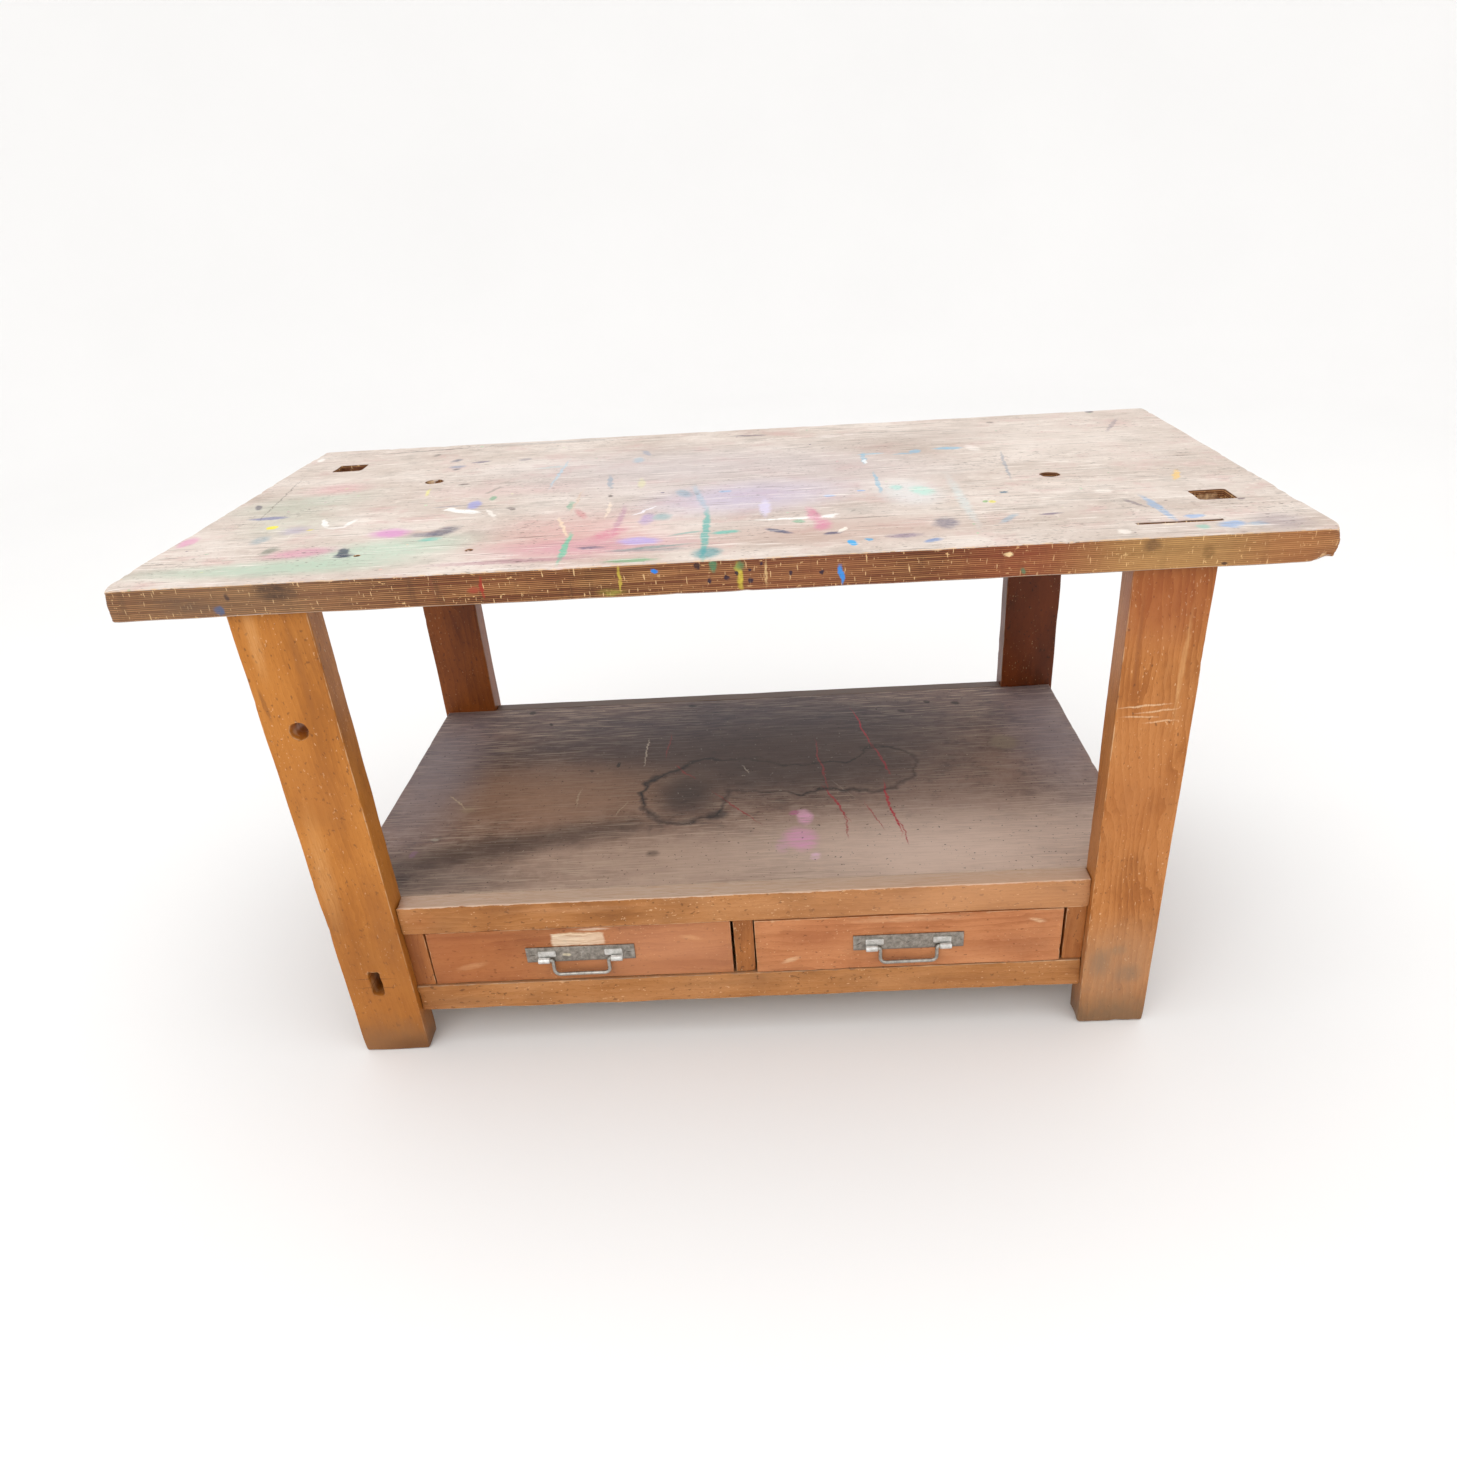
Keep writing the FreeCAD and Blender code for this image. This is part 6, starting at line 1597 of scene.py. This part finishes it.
@dataclass
class DrawerPull:
    """A zinc-plated pull: a plate with two rolled knuckles and a wire bail that swings in them."""

    side: str
    steel: Steel = Steel("zinc_plate", "aaa49b", "7f7971", roughness=0.45, rust=0.45, marks=PLATE_MARKS)
    wire: Steel = Steel("zinc_wire", "bab8b1", "8e8b84", roughness=0.34, rust=0.3)
    # The knuckles' zinc is a brighter copy of the plate's: painted sheen for the highlights on their rolls.
    strap: Steel = Steel("zinc_strap", "e4e3e0", "bfbdb7", roughness=0.4, rust=0.2)

    def __post_init__(self) -> None:
        """Reads the plate's place and the hinge's line."""
        self.low, self.high = (np.array(corner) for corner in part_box(f"{self.side}_handle_plate"))
        joint = next(j for j in frame["joints"] if j["name"] == f"{self.side}_bail_hinge")
        self.hinge = np.array(joint["pos_m"])
        self.body = f"{self.side}_drawer"

    def plate(self, finish: bpy.types.Material) -> None:
        """Makes the plate with a countersink for each screw.

        Args:
            finish: Its material.
        """
        plank = Plank(f"{self.side}_pull_plate", self.low, self.high, finish, self.body, "handle_steel",
                      (f"{self.side}_handle_plate",), wear=0.9 * MM, pitch=4 * MM, knocks=0,
                      hollow=0.12 * MM, seed=500 + len(self.side))
        cutters = []
        for number, middle in enumerate(self.screws()):
            cutters.append(hole_cutter("countersink_cut", middle, (4.1 * MM, 4.1 * MM), 2,
                                       [-1 * MM, 0.1 * MM, 2.2 * MM, 4 * MM], [0.0, 0.0, -1.9 * MM,
                                                                               -1.9 * MM],
                                       "Y", finish, seed=510 + number, ragged=0.05 * MM, count=32))
        plank.build(cutters)

    def screws(self) -> list[Array]:
        """Finds the screws' middles on the plate's face: 74 mm apart and 7 mm above the hinge.

        Returns:
            The three points.
        """
        return [np.array([self.hinge[0] + shift * MM, self.low[1], self.hinge[2] + 7 * MM])
                for shift in (-74, 0, 74)]

    def screw_heads(self, finish: bpy.types.Material) -> None:
        """Makes the three countersunk screws with their slots, as one piece.

        A screw is a profile turned about its axis: a shallow dome, the cone under it and the shank.

        Args:
            finish: Their material.
        """
        rng = np.random.default_rng(len(self.side))
        points, faces, slots, start = [], [], [], 0
        profile = np.array([(1.2, -0.28), (2.6, -0.2), (3.6, -0.02), (3.95, 0.12), (3.8, 0.4), (2.1, 2.3),
                            (1.7, 3.5), (1.7, 14), (0.6, 16.6)]) * MM
        for middle in self.screws():
            own_points, own_faces = turned_profile(profile, 40, middle)
            points.append(own_points)
            faces += [[corner + start for corner in face] for face in own_faces]
            start += len(own_points)
            block, quads = block_surface([np.array([-5, 5]) * MM, np.array([-1.2, 0.75]) * MM,
                                          np.array([-0.45, 0.45]) * MM])
            turn = np.array(Matrix.Rotation(rng.uniform(0, np.pi), 3, "Y"))
            slots.append(new_object("slot_cut", block @ turn.T + middle, quads))
        thing = new_object(f"{self.side}_pull_screws", np.concatenate(points), faces)
        thing.data.materials.append(finish)
        cut_away(thing, slots)
        settle(thing, self.body, (f"{self.side}_handle_screws",))

    def knuckle(self, hand: str, finish: bpy.types.Material) -> None:
        """Makes one knuckle: a strap that runs down the plate and rolls round the bail's pin.

        The strap's middle line runs down from 15 mm above the pin, then round it on a circle of 3.83 mm.
        Its outline across is a flattened superellipse, 27 mm wide on the plate and narrower on the side of
        the bail's leg where it rolls.

        Args:
            hand: "left" or "right".
            finish: Its material.
        """
        low, high = (np.array(corner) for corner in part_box(f"{self.side}_handle_{hand}_knuckle"))
        radius, half, narrowing, straight = 3.83 * MM, 1.0 * MM, 9.5 * MM, 16
        tail = np.linspace(high[2] - self.hinge[2] - 0.2 * MM, 0.6 * MM, straight)
        turn = np.radians(np.linspace(0, 292, 44))
        path = np.concatenate([np.stack([np.full(straight, radius), tail], 1),
                               np.stack([radius * np.cos(turn), -radius * np.sin(turn)], 1)])
        ahead = directions(path)
        sideways = np.stack([-ahead[:, 1], ahead[:, 0]], 1)
        inner = narrowing * smoothstep((4.6 * MM - path[:, 1]) / (1.4 * MM))
        inner[straight:] = narrowing
        corner = 1.6 * MM * (1 - smoothstep((high[2] - self.hinge[2] - path[:, 1]) / (1.6 * MM)))
        corner[straight:] = 0.0
        left = np.full(len(path), low[0]) + corner
        right = np.full(len(path), high[0]) - corner
        if hand == "left":
            right = right - inner
        else:
            left = left + inner
        outline = superellipse(28, 7)
        middle, reach = (left + right) / 2, (right - left) / 2
        rings = np.empty((len(path), len(outline), 3))
        rings[..., 0] = middle[:, None] + reach[:, None] * outline[:, 0]
        thick = half * np.where(np.arange(len(path)) == len(path) - 1, 0.75, 1.0)[:, None]
        for axis in (0, 1):
            rings[..., axis + 1] = (self.hinge[axis + 1] + path[:, axis, None]
                                    + sideways[:, axis, None] * thick * outline[:, 1])
        points, faces = swept(rings)
        thing = new_object(f"{self.side}_pull_{hand}_knuckle", points, faces, 40)
        thing.data.materials.append(finish)
        settle(thing, self.body, (f"{self.side}_handle_{hand}_knuckle",))

    def bail(self, finish: bpy.types.Material) -> None:
        """Makes the bail: round wire bent through four corners.

        The wire's middle line is straight between quarter circles: pins along the hinge, legs down and the
        grip across, 27 mm below the hinge.

        Args:
            finish: Its material.
        """
        reach, leg, drop, wire = 61.8 * MM, 42.5 * MM, 27 * MM, 2.75 * MM
        top, bottom = 3.8 * MM, 9.0 * MM
        quarter = np.radians(np.linspace(0, 90, 9))
        pin = np.stack([np.linspace(-reach, -leg - top, 6), np.zeros(6)], 1)
        bend = np.stack([-leg - top + top * np.sin(quarter), -top + top * np.cos(quarter)], 1)
        straight = np.stack([np.full(5, -leg), np.linspace(-top, -drop + bottom, 7)[1:-1]], 1)
        turn = np.stack([-leg + bottom - bottom * np.cos(quarter),
                         -drop + bottom - bottom * np.sin(quarter)], 1)
        grip = np.stack([np.linspace(-leg + bottom, 0, 9)[1:], np.full(8, -drop)], 1)
        half = np.concatenate([pin, bend[1:], straight, turn, grip])
        path = np.concatenate([half, (half * (-1, 1))[-2::-1]])
        # A used wire is never quite straight.
        path[:, 1] += 0.25 * MM * Ripple(0.05, 9).at(np.column_stack([path, 0 * path[:, 0]]))
        path[:6, 1], path[-6:, 1] = 0.0, 0.0
        ahead = directions(path)
        around = 24
        turn = np.linspace(0, 2 * np.pi, around, endpoint=False)
        thick = np.full(len(path), wire)
        thick[[0, -1]] = wire * 0.8
        rings = np.empty((len(path), around, 3))
        rings[..., 0] = path[:, 0, None] + thick[:, None] * np.sin(turn) * -ahead[:, 1, None]
        rings[..., 1] = thick[:, None] * np.cos(turn)
        rings[..., 2] = path[:, 1, None] + thick[:, None] * np.sin(turn) * ahead[:, 0, None]
        points, faces = swept(rings + self.hinge)
        thing = new_object(f"{self.side}_pull_bail", points, faces, 40)
        thing.data.materials.append(finish)
        settle(thing, f"{self.side}_bail", (f"{self.side}_handle_bail",))

    def build(self) -> None:
        """Makes the plate, the screws, the knuckles and the bail."""
        plate, wire, strap = self.steel.material(), self.wire.material(), self.strap.material()
        self.plate(plate)
        self.screw_heads(plate)
        for hand in ("left", "right"):
            self.knuckle(hand, strap)
        self.bail(wire)


# ---------------------------------------------------------------- the studio


@dataclass
class Studio:
    """A pale floor that rises into a wall all round, soft lights and the camera.

    The camera's turns are, in the order they are made, about Y (its roll), X (down) and Z (to the left),
    starting from a level look along +Y.
    """

    reach: float = 9.0
    lens_mm: float = 25.807
    sensor_mm: float = 36.0
    lens_shift: tuple[float, float] = (-0.02427, 0.03670)
    camera_place: tuple[float, float, float] = (0.0817, -1.5999, 1.1657)
    roll: float = 0.06059
    down: float = -0.51804
    left: float = 0.02979
    sky_strength: float = 1.1

    def floor(self) -> None:
        """Makes the floor: a profile turned about Z, flat in the middle and rising 5 m at the rim."""
        radius = np.concatenate([[0.02], np.linspace(0.5, self.reach, 40)])
        height = 5.0 * smoothstep((radius - 0.55 * self.reach) / (0.45 * self.reach)) ** 1.5
        turn = np.linspace(0, 2 * np.pi, 96, endpoint=False)
        rings = np.stack([radius[:, None] * np.cos(turn), radius[:, None] * np.sin(turn),
                          height[:, None] + 0 * turn], -1)
        rows, columns = rings.shape[:2]
        index = np.arange(rows * columns).reshape(rows, columns)
        ahead = np.roll(index, -1, axis=1)
        quads = np.stack([index[:-1], index[1:], ahead[1:], ahead[:-1]], -1).reshape(-1, 4)
        floor = new_object("studio_floor", rings.reshape(-1, 3), quads.tolist() + [index[0].tolist()])
        graph = Graph("pale_studio_paper")
        place = graph.add("TexCoord", {}, "Object")
        cloud = graph.noise(place, 0.9, 2.0)
        colour = graph.add("Mix", {0: cloud, 6: linear("f6f5f4"), 7: linear("f1f0ef")}, 2, data_type="RGBA")
        shader = graph.add("BsdfPrincipled", {"Base Color": colour, "Roughness": 0.9})
        graph.add("OutputMaterial", {"Surface": shader})
        floor.data.materials.append(graph.material)

    def lamp(self, name: str, place: tuple[float, float, float], aim: tuple[float, float, float],
             size: float,
             power: float) -> None:
        """Hangs a square soft light.

        Args:
            name: Its name.
            place: Where it hangs, in metres.
            aim: The point that it faces.
            size: Its side.
            power: Its power in watts.
        """
        lamp = bpy.data.lights.new(name, "AREA")
        lamp.shape, lamp.size, lamp.energy = "SQUARE", size, power
        thing = bpy.data.objects.new(name, lamp)
        thing.location = place
        way = np.array(aim) - np.array(place)
        tilt = np.arctan2(np.hypot(way[0], way[1]), -way[2])
        thing.rotation_euler = (tilt, 0, np.arctan2(way[1], way[0]) - np.pi / 2)
        bpy.context.scene.collection.objects.link(thing)

    def camera(self) -> None:
        """Places the camera: above the front edge, looking down and a little to the left."""
        data = bpy.data.cameras.new("camera")
        data.lens, data.sensor_width = self.lens_mm, self.sensor_mm
        data.shift_x, data.shift_y = self.lens_shift
        data.dof.use_dof = False
        thing = bpy.data.objects.new("camera", data)
        turn = (Matrix.Rotation(self.left, 4, "Z") @ Matrix.Rotation(self.down, 4, "X")
                @ Matrix.Rotation(self.roll, 4, "Y") @ Matrix.Rotation(np.pi / 2, 4, "X"))
        thing.matrix_world = Matrix.Translation(self.camera_place) @ turn
        bpy.context.scene.collection.objects.link(thing)
        bpy.context.scene.camera = thing

    def build(self) -> None:
        """Makes the floor, the lights, the sky and the camera."""
        scene = bpy.context.scene
        self.floor()
        self.lamp("key", (-1.4, -3.0, 2.2), (0, -0.1, 0.4), 2.0, 24)
        self.lamp("fill", (2.4, -2.6, 1.4), (0, 0, 0.3), 2.0, 8)
        self.lamp("top", (0.0, 0.4, 3.6), (0, 0, 0.7), 2.6, 16)
        world = bpy.data.worlds.new("sky")
        scene.world = world
        world.use_nodes = True
        sky = world.node_tree.nodes["Background"].inputs
        sky[0].default_value, sky[1].default_value = linear("ffffff"), self.sky_strength
        scene.view_settings.view_transform = "Standard"
        self.camera()


def main() -> None:
    """Builds the bench's looks and reports every piece."""
    logging.basicConfig(level=logging.INFO, format="%(message)s")
    Studio().build()
    finishes = {wood.name: wood.material() for wood in WOODS}
    Worktop().build()
    Legs(finishes).build()
    Case(finishes).build()
    Runners(finishes).build()
    for side in ("left", "right"):
        Drawer(side, finishes).build()
    bolt = Steel("dull_bolt_steel", "9a958c", "6d675f", roughness=0.5, rust=0.6).material()
    for node in ("slab_bolts", "slab_bolt_washers"):
        dress(node, bolt)


if __name__ == "__main__":
    main()
